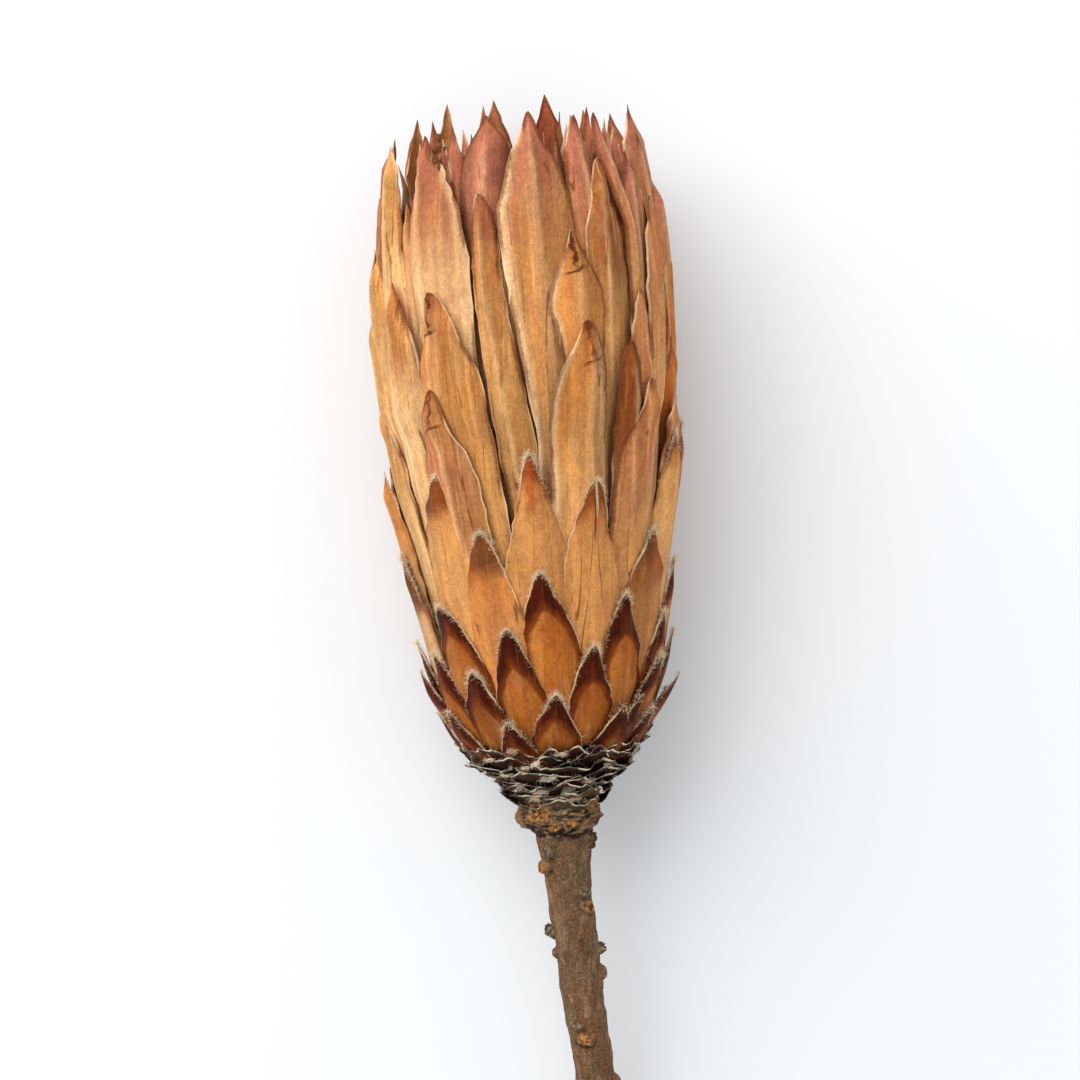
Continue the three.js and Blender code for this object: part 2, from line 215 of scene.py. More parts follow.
class Recipe:
    # a material's node tree, built by name
    def __init__(self, name, roughness, specular=0.4):
        self.material = bpy.data.materials.new(name)
        self.material.use_nodes = True
        self.tree = self.material.node_tree
        self.shader = self.tree.nodes["Principled BSDF"]
        self.shader.inputs["Roughness"].default_value = roughness
        self.shader.inputs["Specular IOR Level"].default_value = specular

    def node(self, kind, **settings):
        made = self.tree.nodes.new("ShaderNode" + kind)
        for name, value in settings.items():
            setattr(made, name, value)
        return made

    def put(self, socket, value):
        if isinstance(value, bpy.types.NodeSocket):
            self.tree.links.new(value, socket)
        else:
            socket.default_value = value

    def mark(self, name, output="Fac"):
        return self.node("Attribute", attribute_name=name).outputs[output]

    def spot(self):
        return self.node("TexCoord").outputs["Object"]

    def math(self, operation, a, b=0.5):
        made = self.node("Math", operation=operation)
        self.put(made.inputs[0], a)
        self.put(made.inputs[1], b)
        return made.outputs[0]

    def times(self, a, *others):
        for b in others:
            a = self.math("MULTIPLY", a, b)
        return a

    def plus(self, a, b):
        return self.math("ADD", a, b)

    def minus(self, a, b):
        return self.math("SUBTRACT", a, b)

    def size(self, a):
        return self.math("ABSOLUTE", a)

    def total(self, first, *others):
        # each part is a value and how much of it
        made = self.times(*first)
        for value, amount in others:
            made = self.plus(made, self.times(value, amount))
        return made

    def ramp(self, value, low, high, start=0.0, end=1.0):
        # a smooth step that may run either way
        if isinstance(low, float) and low > high:
            low, high, start, end = high, low, end, start
        made = self.node("MapRange", interpolation_type="SMOOTHSTEP")
        for socket, v in zip(made.inputs, (value, low, high, start, end)):
            self.put(socket, v)
        return made.outputs[0]

    def place(self, x, y, z):
        made = self.node("CombineXYZ")
        for socket, v in zip(made.inputs, (x, y, z)):
            self.put(socket, v)
        return made.outputs[0]

    def stretch(self, vector, scale):
        made = self.node("VectorMath", operation="MULTIPLY")
        self.put(made.inputs[0], vector)
        made.inputs[1].default_value = scale
        return made.outputs[0]

    def noise(self, vector, scale=1.0, detail=2.0, roughness=0.5, distortion=0.0):
        made = self.node("TexNoise")
        self.put(made.inputs["Vector"], vector)
        for name, value in (("Scale", scale), ("Detail", detail), ("Roughness", roughness),
                            ("Distortion", distortion)):
            made.inputs[name].default_value = value
        return made.outputs["Fac"]

    def mix(self, amount, a, b, blend="MIX"):
        made = self.node("Mix", data_type="RGBA", blend_type=blend)
        self.put(made.inputs[0], amount)
        for socket, colour in ((made.inputs[6], a), (made.inputs[7], b)):
            self.put(socket, colour if isinstance(colour, bpy.types.NodeSocket) else (*colour, 1))
        return made.outputs[2]

    def shade(self, tone, amount):
        # lighter or darker by a grey amount
        return self.mix(1.0, tone, self.place(amount, amount, amount), "MULTIPLY")

    def shadeBy(self, tone, *coats):
        # each coat is a pattern, where it starts and ends, and how dark and how light it makes it
        for pattern, low, high, dark, light in coats:
            tone = self.shade(tone, self.ramp(pattern, low, high, dark, light))
        return tone

    def paint(self, tone, skin, where, *coats):
        # each coat is a pattern, where it starts and is full, how much of it shows, and its colour
        for pattern, low, high, amount, colour in coats:
            shown = self.times(self.ramp(pattern, low, high, 0.0, amount), where)
            tone = self.mix(shown, tone, skin[colour])
        return tone

    def bump(self, height, strength, distance):
        made = self.node("Bump")
        made.inputs["Strength"].default_value = strength
        made.inputs["Distance"].default_value = distance
        self.put(made.inputs["Height"], height)
        self.put(self.shader.inputs["Normal"], made.outputs[0])

    def colour(self, value):
        self.put(self.shader.inputs["Base Color"], value)
        return self.material


bractSkin = {
    "golden": (0.58, 0.265, 0.070),
    "greyTan": (0.49, 0.265, 0.115),
    "pinkTan": (0.43, 0.150, 0.068),
    "cream": (0.76, 0.43, 0.18),
    "rim": (0.84, 0.60, 0.36),
    "rimShade": (0.15, 0.038, 0.011),
    "vein": (0.17, 0.050, 0.015),
    "bandDark": (0.058, 0.0075, 0.0016),
    "bandWarm": (0.190, 0.037, 0.0048),
    "bandPurple": (0.030, 0.0060, 0.0042),
    "capBrown": (0.205, 0.048, 0.0075),
    "capGrey": (0.115, 0.048, 0.020),
    "stain": (0.105, 0.020, 0.006),
    "red": (0.33, 0.055, 0.012),
    "dust": (0.74, 0.54, 0.33),
    "felt": (0.72, 0.50, 0.31),
}

# how fine each pattern of a bract is across, along and from bract to bract, then its detail,
# roughness and distortion
bractPatterns = {
    "leather": (3.0, 2.0, 1.0, 4.0, 0.62, 0.0),
    "strand": (1.1, 0.05, 1.0, 3.0, 0.55, 0.3),
    "fine": (6.5, 0.5, 1.0, 2.0, 0.5, 0.0),
    "swathe": (0.42, 0.035, 2.3, 2.0, 0.5, 0.4),
    "golden": (0.34, 0.10, 1.7, 3.0, 0.6, 0.6),
    "greyed": (0.30, 0.08, 2.9, 2.0, 0.5, 0.5),
    "pinked": (0.30, 0.12, 3.7, 2.0, 0.5, 0.5),
    "crack": (0.42, 0.022, 4.3, 0.0, 0.5, 0.0),
    "patch": (0.5, 0.22, 5.9, 1.0, 0.5, 0.0),
    "edgePatch": (0.25, 0.06, 7.3, 1.0, 0.5, 0.0),
    "wander": (0.2, 0.45, 6.7, 3.0, 0.65, 0.0),
    "mottle": (0.8, 0.5, 8.3, 3.0, 0.6, 0.8),
}


def bractMaterial(name, roughness, blotches, edgeShadeAmount, strands, fringe):
    r = Recipe(name, roughness, 0.04)
    skin = bractSkin
    across, along, edge, top = (r.mark(mark) for mark in ("across", "fromTip", "edge", "top"))
    here = r.place(across, along, r.times(r.mark("grain"), 91.0))
    (leather, strand, fine, swathe, golden, greyed, pinked, crack, patch, edgePatch, wander,
     mottle) = (r.noise(r.stretch(here, row[:3]), 1.0, *row[3:]) for row in bractPatterns.values())
    wander = r.minus(wander, 0.5)
    faded = r.minus(1.0, r.times(r.mark("rosy"), 0.85))
    tone = r.paint(r.mark("dye", "Color"), skin, faded,
                   (golden, 0.48, 0.66, blotches, "golden"),
                   (greyed, 0.52, 0.68, blotches * 0.8, "greyTan"),
                   (pinked, 0.52, 0.70, blotches * 0.8, "pinkTan"),
                   (strand, 0.52, 0.70, strands, "cream"))

    # the dark edge of the short bracts: whole at the tip, then a band down either side
    below = r.math("MAXIMUM", r.minus(along, top), 0.0)
    band = r.plus(r.times(r.math("POWER", 0.67, below), 2.35), 0.95)
    wobble = r.total((r.minus(golden, 0.5), 1.4), (r.minus(fine, 0.5), 0.55))
    inBand = r.minus(r.plus(band, wobble), edge)
    bandTone = r.mix(r.ramp(inBand, 2.0, 0.2), skin["bandDark"], skin["bandWarm"])
    bandTone = r.paint(bandTone, skin, 1.0, (pinked, 0.50, 0.64, 0.35, "bandPurple"),
                       (strand, 0.55, 0.70, 0.35, "bandWarm"))
    tone = r.mix(r.times(r.ramp(inBand, -0.40, 0.40), r.mark("banded")), tone, bandTone)

    # the soft brown cap of the next ones up, and its stain down the sides
    capped = r.mark("capped")
    inCap = r.minus(top, r.total((along, 1.0), (across, 0.25), (wander, 3.5)))
    capTone = r.mix(r.ramp(greyed, 0.46, 0.62, 0.0, 0.6), skin["capBrown"], skin["capGrey"])
    tone = r.mix(r.times(r.ramp(inCap, -2.4, 1.4), capped, 0.94), tone, capTone)
    sides = r.times(r.ramp(edge, 0.9, 0.2), r.ramp(along, 20.0, 4.0), capped, r.ramp(patch, 0.4, 0.55))
    tone = r.mix(r.times(sides, 0.7), tone, skin["capBrown"])

    # stains: a dark streak under the tip with a smear across it
    streakX = r.size(r.total((across, 1.0), (wander, 3.2)))
    streakWide = r.plus(0.16, r.times(r.minus(patch, 0.45), 1.4))
    streak = r.times(r.ramp(r.minus(streakX, streakWide), 0.40, -0.20), r.ramp(along, 7.6, 4.6))
    slope = r.total((along, 1.0), (across, 0.3), (wander, 2.5))
    smear = r.times(r.ramp(r.size(r.minus(slope, 6.2)), 0.42, 0.08), r.ramp(r.size(across), 2.3, 0.8), 0.9)
    blot = r.times(r.ramp(streakX, 2.0, 0.3), r.ramp(along, 9.0, 3.0), 0.30)
    spread = r.math("MAXIMUM", r.math("MAXIMUM", streak, smear), blot)
    tone = r.mix(r.times(spread, r.mark("stain"), 0.85), tone, skin["stain"])
    redX = r.size(r.total((across, 1.0), (wander, 2.6)))
    redHere = r.times(r.ramp(redX, 0.9, 0.35), r.ramp(along, 11.5, 7.0), r.mark("red"),
                      r.ramp(leather, 0.36, 0.52), 0.75)
    tone = r.mix(redHere, tone, skin["red"])
    # a split down the middle: its dark side, then its torn pale side
    for beside, none, full, end, start, amount, colour in (
            (0.42, 0.24, 0.1, 11.0, 7.5, 0.85, "stain"), (0.15, 0.3, 0.12, 6.5, 4.5, 0.55, "dust")):
        line = r.times(r.ramp(r.size(r.plus(across, beside)), none, full), r.ramp(along, end, start))
        tone = r.mix(r.times(line, r.mark("split"), amount), tone, skin[colour])

    # cracks, speckles and the edge: a painted shade line just inside it, and a pale line on it that is
    # partly the bract's own pale margin and partly painted highlight
    line = r.ramp(r.size(r.minus(crack, 0.5)), 0.012, 0.004)
    tone = r.mix(r.times(line, r.ramp(patch, 0.46, 0.56), 0.75), tone, skin["vein"])
    tone = r.paint(tone, skin, 1.0, (leather, 0.68, 0.74, 0.5, "vein"))
    wavyEdge = r.total((edge, 1.0), (r.minus(leather, 0.5), 0.5))
    tone = r.paint(tone, skin, r.ramp(edgePatch, 0.42, 0.52), (wavyEdge, 0.80, 0.30, edgeShadeAmount, "rimShade"))
    tone = r.paint(tone, skin, r.ramp(edgePatch, 0.51, 0.42), (wavyEdge, 0.24, 0.06, 0.65, "rim"))
    felt = r.times(r.ramp(along, 11.0, 2.0), fringe, r.ramp(leather, 0.40, 0.56, 0.25, 1.0))
    tone = r.paint(tone, skin, felt, (r.plus(wavyEdge, wander), 0.26, 0.02, 1.0, "felt"))
    tone = r.shadeBy(tone, (swathe, 0.34, 0.66, 0.86, 1.12), (strand, 0.30, 0.70, 0.94, 1.05),
                     (mottle, 0.34, 0.66, 0.90, 1.09), (fine, 0.30, 0.70, 0.95, 1.05),
                     (leather, 0.32, 0.68, 0.86, 1.11))
    r.bump(r.total((leather, 0.6), (strand, 1.0), (mottle, 0.6), (fine, 0.15)), 0.8, 0.0002)
    return r.colour(tone)


def hairMaterial(name, pale, dark):
    r = Recipe(name, 0.6, 0.2)
    tone = r.mix(r.mark("grain"), pale, dark)
    return r.colour(r.shadeBy(tone, (r.noise(r.spot(), 900, 2.0), 0.3, 0.7, 0.8, 1.1)))


barkSkin = {
    "ridgeLight": (0.43, 0.265, 0.150),
    "shadeAndSpeck": (0.022, 0.011, 0.006),
    "red": (0.160, 0.066, 0.028),
    "green": (0.105, 0.080, 0.045),
    "fleck": (0.40, 0.29, 0.185),
    "bare": (0.27, 0.165, 0.088),
    "crust": (0.62, 0.37, 0.150),
}

# how fine each pattern of the bark is, its detail, roughness and distortion, and how much finer
# it is around the stem than along it
barkPatterns = {
    "fine": (2300, 4.0, 0.65, 0.0, 1.0),
    "grit": (5200, 2.0, 0.6, 0.0, 1.0),
    "pits": (1500, 3.0, 0.6, 0.0, 1.0),
    "broad": (380, 3.0, 0.5, 0.0, 0.35),
    "green": (290, 2.0, 0.5, 0.0, 0.5),
    "bare": (520, 2.0, 0.5, 0.4, 0.4),
    "wrinkle": (1700, 3.0, 0.6, 0.5, 0.22),
}


def barkMaterial():
    r = Recipe("greyBrownBark", 0.8, 0.15)
    spot = r.spot()
    fine, grit, pits, broad, green, bare, wrinkle = (
        r.noise(r.stretch(spot, (1.0, row[-1], 1.0)), *row[:-1]) for row in barkPatterns.values())
    relief, marked = r.mark("relief"), r.mark("marked")
    tone = r.paint(r.mark("dye", "Color"), barkSkin, r.minus(1.0, marked),
                   (broad, 0.42, 0.60, 0.85, "red"), (green, 0.50, 0.66, 0.5, "green"),
                   (bare, 0.54, 0.66, 0.5, "bare"))
    # painted light and shade from the relief: ridges painted lighter and hollows painted darker, then pale
    # flecks and dark specks
    tone = r.paint(tone, barkSkin, 1.0,
                   (relief, 0.04, 0.34, 0.70, "ridgeLight"), (relief, -0.03, -0.28, 0.9, "shadeAndSpeck"),
                   (grit, 0.57, 0.68, 0.65, "fleck"), (fine, 0.36, 0.24, 0.7, "shadeAndSpeck"))
    tone = r.paint(tone, barkSkin, marked,
                   (pits, 0.52, 0.38, 0.85, "shadeAndSpeck"), (pits, 0.54, 0.66, 0.55, "crust"))
    tone = r.shadeBy(tone, (wrinkle, 0.3, 0.7, 0.80, 1.20), (fine, 0.32, 0.68, 0.74, 1.24))
    r.bump(r.total((wrinkle, 0.8), (fine, 0.6), (grit, 0.2)), 1.0, 0.0004)
    return r.colour(tone)


scaleSkin = {
    "black": (0.0065, 0.0035, 0.0027),
    "brown": (0.085, 0.036, 0.018),
    "purple": (0.045, 0.012, 0.009),
    "grey": (0.11, 0.083, 0.050),
    "rim": (0.95, 0.78, 0.58),
}


def scaleMaterial():
    r = Recipe("blackBrownScale", 0.75, 0.1)
    spot = r.spot()
    fine = r.noise(r.stretch(spot, (0.5, 1.0, 1.0)), 2100, 3.0, 0.6)
    blotch, patch = r.noise(spot, 620, 2.0), r.noise(spot, 300, 1.0)
    wavy = r.total((r.mark("edge"), 1.0), (r.minus(fine, 0.5), 0.4))
    tone = r.paint(r.mark("dye", "Color"), scaleSkin, 1.0, (blotch, 0.50, 0.66, 0.45, "brown"))
    tone = r.paint(tone, scaleSkin, r.ramp(patch, 0.54, 0.64), (wavy, 1.0, 0.3, 0.7, "grey"))
    tone = r.paint(tone, scaleSkin, r.ramp(patch, 0.40, 0.54, 0.15, 0.95), (wavy, 0.34, 0.10, 1.0, "rim"))
    r.bump(fine, 0.9, 0.0003)
    return r.colour(r.shadeBy(tone, (fine, 0.3, 0.7, 0.7, 1.3)))


bractShape = {
    "width": [(10, 7), (17, 8.2), (24, 9), (33, 10), (50, 10.4), (75, 11.5), (95, 12.5), (112, 12)],
    "taper": [(10, 8), (17, 9.5), (24, 11.5), (33, 13), (50, 16), (75, 19), (95, 22), (112, 24)],
    "shown": [(10, 6), (17, 11), (24, 16), (33, 24), (50, 34), (57, 40), (75, 50), (95, 60), (112, 68)],
    "thick": 0.45,
    "shortTips": 58,  # tips below this are the short outer rows
    # rows of points, at the least and more per mm, then columns
    "grid": {"plain": (9, 0.2, 9), "short": (18, 0.5, 17), "tall": (15, 0.36, 17)},
    "pleat": {"short": 0.06, "tall": 0.16},
    "roll": {"short": 0.35, "tall": 1},
    "flutter": 0.22,
    "rolledEdge": 0.75,
    "crease": 0.35,
}

# how each kind of bract is shaped
finishes = {
    "edged": {"blunt": 0.72, "crown": 0.55, "lift": 0.5, "curl": 2.5, "keel": 0.15, "wool": 1.0},
    "capped": {"blunt": 0.74, "crown": 0.5, "lift": 0.25, "curl": 3.0, "keel": 0.25, "wool": 0.9},
    "tan": {"blunt": 0.82, "crown": 0.25, "lift": 0.15, "curl": 6.0, "keel": 0.8, "wool": 0.0},
    "rosy": {"blunt": 0.86, "crown": 0.3, "lift": -0.1, "curl": 8.0, "keel": 1.0, "wool": 0.0},
}

dyes = {
    "panel": (0.315, 0.076, 0.0105),
    "panelLow": (0.42, 0.124, 0.020),
    "tan": (0.440, 0.180, 0.054),
    "cream": (0.68, 0.350, 0.118),
    "paintedLightIvory": (0.90, 0.580, 0.290),
    "amber": (0.605, 0.243, 0.066),
    "gold": (0.460, 0.175, 0.040),
    "grey": (0.45, 0.262, 0.115),
    "pink": (0.42, 0.160, 0.066),
    "orange": (0.42, 0.120, 0.021),
    "brown": (0.215, 0.055, 0.0125),
    "rose": (0.440, 0.145, 0.090),
    "deepRose": (0.190, 0.034, 0.020),
    "sienna": (0.330, 0.115, 0.036),
    "rolled": (0.88, 0.58, 0.31),
}

stains = ("stain", "red", "split")  # marks that only some bracts have

# the inside of a bract, at its tip and further down
insides = {
    "rose": ((0.72, 0.275, 0.135), (0.27, 0.080, 0.032)),
    "gold": ((0.95, 0.42, 0.17), (0.62, 0.21, 0.065)),
    "red": ((0.52, 0.135, 0.065), (0.20, 0.038, 0.017)),
}


def bract(finish, azimuth, tip, left=None, right=None, **more):
    # left and right: how far the edges reach in mm, at so many mm below the tip
    return {"azimuth": azimuth, "tip": tip, "finish": finish, "left": left, "right": right, **more}


edged, capped, tan, rosy = (partial(bract, finish) for finish in finishes)

shownBracts = [
    # the lowest, dark edged ones
    edged(-85, 13.4, wooly=0.3), edged(-62, 14.4, wooly=0.5), edged(37, 14.2, dark=1, wooly=0.2, proud=0.6),
    edged(46, 15.6, share=0.6, dark=1, wooly=0.15, proud=0.9), edged(62, 13.0, wooly=0.5),
    edged(88, 15, wooly=0.3), edged(-22, 13.0, dark=1, wooly=0.6),
    edged(3, 17.3, [(1.1, 1.4), (2.6, 2.3), (4.3, 3.3), (8, 4.5)],
        [(0.9, 1.0), (2.6, 1.7), (4.4, 2.4), (8, 3.9)], top=4.0),
    edged(82, 17.6, share=0.8, proud=1.8, wooly=0.3, roll=0.8),
    edged(-37, 21.3, [(1.2, 1.6), (3.2, 2.7), (5.8, 3.7), (9.8, 4.1)],
        [(0.8, 1.3), (2.6, 2.1), (5.9, 3.2), (11, 4.8)], top=5.4),
    edged(-80, 20.6, share=0.9, proud=1.2, wooly=0.35, roll=-0.6),
    edged(65, 21.4, [(1.1, 1.5), (2.5, 2.8), (5.5, 4.3), (8, 4.7)]), edged(-62, 24),
    edged(-88, 25, proud=0.5, wooly=0.5), edged(88, 24.4, proud=0.5, wooly=0.5),
    edged(22, 24.5, [(1, 1.3), (2.5, 2.2), (4.1, 2.8), (8.5, 3.8)],
        [(1.7, 1.2), (3.9, 1.9), (5.9, 2.5), (9.7, 4.0)], top=5.4),
    edged(-17, 28, [(0.9, 1.2), (2.5, 1.9), (5, 2.6), (10, 3.4)],
        [(1.2, 1.3), (4.5, 2.6), (8.5, 4.0), (12, 5.3)], top=6.4),
    edged(69, 28),
    edged(-51, 31.7, [(1.4, 1.5), (3.9, 2.3), (8.9, 3.0), (14, 3.6)],
        [(0.6, 1.4), (2, 3.1), (5.5, 4.7), (9, 5.9), (12, 7.0)], top=4.6),
    edged(38, 32.1, [(1.3, 1.2), (3.3, 2.0), (7, 3.0), (10, 3.4)],
        [(1.3, 1.4), (3.3, 2.0), (5.5, 2.9), (10, 4.8)], top=6.4),
    edged(87, 35.6),
    edged(-1, 36.8, [(1.2, 1.1), (2.8, 1.8), (5.1, 2.5), (9.9, 3.6)],
        [(1.4, 1.4), (4.7, 2.8), (8.7, 4.5), (12.7, 5.8)], top=5.8),
    capped(-82, 39.2, proud=0.6, wooly=2.0, top=9, tint="brown"),
    # the soft brown caps
    capped(-24, 43.5, [(0.7, 1.2), (2, 1.8), (3.6, 2.7), (9.2, 4.5), (15, 6.0)],
        [(1.3, 1.5), (5.4, 2.8), (10.7, 4.3), (16, 5.8)], top=6.2, tint="orange", creamLow=0.35, wooly=1.3),
    capped(55, 41.6, [(1.6, 1.5), (4.8, 3.3), (9.4, 5.0)], top=4.5, tint="brown", creamLow=0.4),
    capped(24, 50.7, [(1.3, 1.6), (3.3, 2.2), (7.2, 3.7), (12.4, 4.9), (19, 5.4)],
        [(1.2, 1.2), (3.6, 1.8), (8.4, 2.2), (13.3, 3.9), (18.5, 4.9)], top=4.4, tint="tan", creamLow=0.42,
        split=1),
    capped(-40, 52.8, [(1.7, 2.1), (4.2, 3.3), (7.4, 4.4), (12, 5.5), (20, 5.8)],
        [(2.1, 1.4), (6.1, 2.2), (11.8, 3.6), (18, 5)], top=5.6, tint="tan", keel=0.5),
    tan(-87, 52.8, share=0.85, proud=0.4, long=31, tint="amber", brownTip=1, creamLow=0.9),
    capped(-2, 55.4, [(1.3, 1.0), (5.7, 1.9), (10.3, 3.0), (16.3, 4.5), (19, 5.1)],
        [(1.5, 1.1), (5.1, 2.2), (10, 3.7), (14, 5.0), (17.3, 5.4)], top=3.6, tint="tan", creamLow=0.2,
        red=1, wooly=1.3),
    capped(71, 56.6, top=3.0, tint="cream"), capped(88, 57.5, tint="pink"), tan(75, 62, tint="pink"),
    tan(-82, 64, share=1.1, tint="cream", creamLow=0.9),
    # the tall ones
    tan(-38, 66.0, [(0.6, 0.9), (2.5, 1.8), (4.8, 2.8), (10.4, 4.0), (14, 4.3)],
        [(0.7, 1.2), (2.3, 2.1), (6.7, 3.1), (10.6, 5.2), (14.9, 6.3), (24, 6.5)], stain=1, tint="pink",
        brownTip=1, long=52, sunk=-1.2, roll=0.5),
    tan(51, 65.6, [(1, 1.2), (4.6, 2.6), (7.6, 4.1), (10.5, 5.9), (14.8, 7.0), (20, 7.1)],
        [(0.7, 1.2), (3.9, 1.9), (8.7, 3.8), (20, 4.3)], tint="pink", brownTip=1, brownEdge=1, sunk=-0.8,
        roll=-0.5),
    tan(41, 71.4, [(0.7, 1.2), (2.8, 2.1), (7.4, 2.9), (16, 2.9)],
        [(0.7, 1.1), (3, 1.5), (7.8, 2.7), (14, 3.6)], tint="brown", lift=0.5, sunk=-0.4, roll=-0.4),
    tan(82, 71.3, tint="orange", brownTip=1, sunk=1.2),
    tan(23, 75.2, [(0.3, 0.9), (1.7, 1.6), (2.9, 2.3), (6.7, 4.6), (10.9, 6.4), (16.5, 7.0), (26, 6.4)],
        [(0.4, 1.0), (2.5, 1.9), (4.8, 2.3), (17, 2.4), (26, 2.6)], stain=1, tint="gold", duskFar=5,
        paleLeft=1, keel=0.7, keelAt=0.35, rightGrey=1, creamLow=0.95, sunk=-1.5, roll=0.3),
    tan(-80, 78.4, long=58, tint="cream", creamLow=0.9, proud=0.3, brownTip=1),
    tan(50, 79.4, [(1.5, 0.9), (3.6, 1.7), (8.2, 2.6), (12.4, 1.3), (18, 1.0)],
        [(1.2, 1.2), (6.7, 2.3), (13, 3.4)], tint="pink"),
    tan(-58, 82.8, long=64, tint="tan", creamLow=0.95, sunk=-0.3),
    tan(-37, 81.0, [(1, 0.9), (2.8, 1.1), (5.8, 1.6), (8.1, 2.3), (11.2, 3.4), (17, 3.8)],
        [(0.3, 1.6), (1.1, 2.9), (3.7, 4.3), (8.9, 6.3), (12, 7.9), (13.2, 8.6), (36, 8.8)], stain=1.2,
        tint="amber", creamLow=0.9, brownTip=1, keel=0.6, keelAt=-0.45, sunk=-1.0, roll=0.7),
    tan(-75, 87.8, share=0.9, long=66, tint="cream", creamLow=0.9),
    tan(-88, 88, share=0.5, tint="cream", creamLow=0.8),
    tan(88, 87.2, share=0.8, tint="orange", brownTip=1),
    tan(20, 89.2, [(1.6, 0.7), (3.1, 1.4), (6.8, 3.1), (9.4, 4.1), (10.9, 4.5), (15.3, 3.5), (21, 2.6)],
        [(0.6, 0.9), (2.2, 1.5), (5.9, 3.0), (9.4, 4.7), (11.2, 4.8), (16, 4.5)], stain=1.2, tint="amber",
        duskFar=6, keel=0.7, keelAt=0.05, paleLeft=0.8, creamLow=0.6, sunk=-0.6, roll=0.2),
    tan(26, 86, sunk=1.0, tint="gold", share=0.9),
    tan(70, 93.7, [(1.5, 2.0), (4.6, 3.6), (11.6, 5.2)],
        [(1, 1), (3.2, 2.2), (13, 2.3)], tint="pink", keel=0.8),
    tan(-15, 95.8, [(0.4, 0.6), (1.2, 0.9), (3.4, 1.2), (15, 1.4), (25.8, 0.7), (32, 0.3), (38, 0),
        (50, -1)],
        [(0.4, 0.6), (1, 1.0), (3.2, 2.3), (15, 3.1), (24, 4.3), (34, 5.6), (50, 6.6)], tint="amber",
        brownTip=1, roseTip=1, roseFar=8, duskFar=7, creamLow=0.8, keel=0.8, keelAt=-0.25, sunk=-0.2,
        wooly=0.08),
    rosy(88, 97.3, share=0.7, tint="tan", roll=1.2),
    tan(38, 100.0, [(0.5, 0.9), (1.6, 1.6), (4.2, 2.3), (6.8, 2.6), (7.6, 3.2), (10.3, 4.0), (17, 4.7)],
        [(0.5, 0.9), (4.4, 1.6), (6.8, 2.0), (7.6, 2.6), (13, 3.8), (27, 4.3)], tint="sienna", creamLow=0.9,
        duskFar=11, keel=0.8, keelAt=-0.2, crease=7.2, sunk=0.0, roll=-0.5),
    rosy(41, 107.0, [(1.2, 0.8), (4.3, 1.0), (8.3, 0.4), (13, -1), (17.3, -2.6)],
        [(1.6, 1.0), (4.4, 1.7), (8.4, 3.3), (12.7, 5.1), (18, 6.2)], tint="pink", keel=0.5, keelAt=0.1),
    tan(-65, 103.9, [(1, 0.7), (5, 2.4), (9, 3.4), (16, 4.2)],
        [(1, 0.7), (3.7, 1.6), (10, 2.3), (20, 3.8)], tint="cream", creamLow=0.8, proud=0.6, keel=0.8,
        roll=-0.25),
    tan(-54, 95, share=0.7, sunk=1.4, tint="tan"), rosy(60, 101, share=0.8, sunk=0.9, tint="pink"),
    tan(66, 88, share=0.8, sunk=0.9, tint="pink"),
    rosy(-42, 105.1, [(1, 0.4), (3.6, 1.0), (9.7, 2.6), (17.4, 3.8), (30, 2.6), (45, 2)],
        [(0.6, 0.8), (1.9, 1.5), (4.2, 2.4), (4.7, 4.4), (7, 5.1), (11, 7.2), (14, 7.9), (20, 8.9),
        (45, 9)], tint="amber", creamLow=0.95, roseFar=20, keel=1.3, keelAt=-0.4, paleRight=0.6, sunk=-0.4,
        roll=0.6),
    rosy(8, 107.7, [(0.5, 0.7), (1.3, 1.0), (3.3, 1.9), (5.8, 3.3), (11.8, 5.1), (15.1, 6.1), (21.7, 5.9),
        (35, 4.3), (45.8, 2.8), (50, 2)],
        [(1, 0.8), (4.3, 1.8), (8.5, 3.7), (13.7, 5.2), (19.4, 5.8), (50, 6)], tint="tan", creamLow=0.4,
        keel=1.2, keelAt=-0.05, paleLeft=1.4, sunk=-0.4, roll=0.4),
    rosy(82, 108.2, [(1.6, 1.1), (6, 2.6), (14, 3.2)],
        [(1.6, 1.1), (6, 2.4), (14, 2.8)], tint="tan", keel=0.4, sunk=0.8, roll=1.1),
    rosy(79, 103, share=0.7, sunk=1.9, tint="grey", roll=1.0),
    rosy(-12, 107.6, [(1, 0.8), (3.2, 2.4), (5.1, 3.6), (8.4, 4.9), (12, 5.8), (30, 6)],
        [(1.2, 1.2), (3.7, 3.1), (5.3, 3.8), (12, 4.8), (30, 6)], tint="rose", roseFar=30, keel=1.5,
        keelAt=-0.05, sunk=1.6, sidesDark=0.45),
    rosy(30, 106.7, [(0.6, 0.8), (2, 1.3), (4.5, 2.2), (10.7, 2.9), (20, 3.6)],
        [(0.6, 0.6), (3.9, 1.4), (8.6, 2.2), (20, 3.6)], tint="pink", keel=0.8, keelAt=0.2, sunk=0.5),
]

# plain ones behind them near the mouth: azimuth, tip, share of the usual width, how far in, tint
behindMouth = [
    (-30, 106.3, 0.63, 2.4, "rose"), (-31, 101.8, 0.42, 1.4, "rose"), (-42, 107.3, 0.56, 2.2, "grey"),
    (-25, 105.6, 0.56, 3.6, "rose"), (-36, 104.4, 0.42, 3.0, "pink"), (27, 104.9, 0.45, 2.6, "pink"),
    (26, 107.4, 0.14, 3.6, "cream"), (33, 106.8, 0.17, 4.4, "rose"), (36, 106.9, 0.17, 4.6, "rose"),
    (42, 107.9, 0.7, 2.8, "gold"), (60, 104.6, 0.7, 2.8, "pink"), (-20, 104.8, 0.49, 2.9, "rose"),
    (21, 105.2, 0.49, 2.4, "pink"), (53, 106.0, 0.63, 2.6, "pink"), (-50, 104.0, 0.56, 2.2, "pink"),
    (-78, 99, 0.84, 1.5, "cream"),
]
shownBracts += [rosy(azimuth, tip, share=share, sunk=sunk, tint=tint)
                for azimuth, tip, share, sunk, tint in behindMouth]

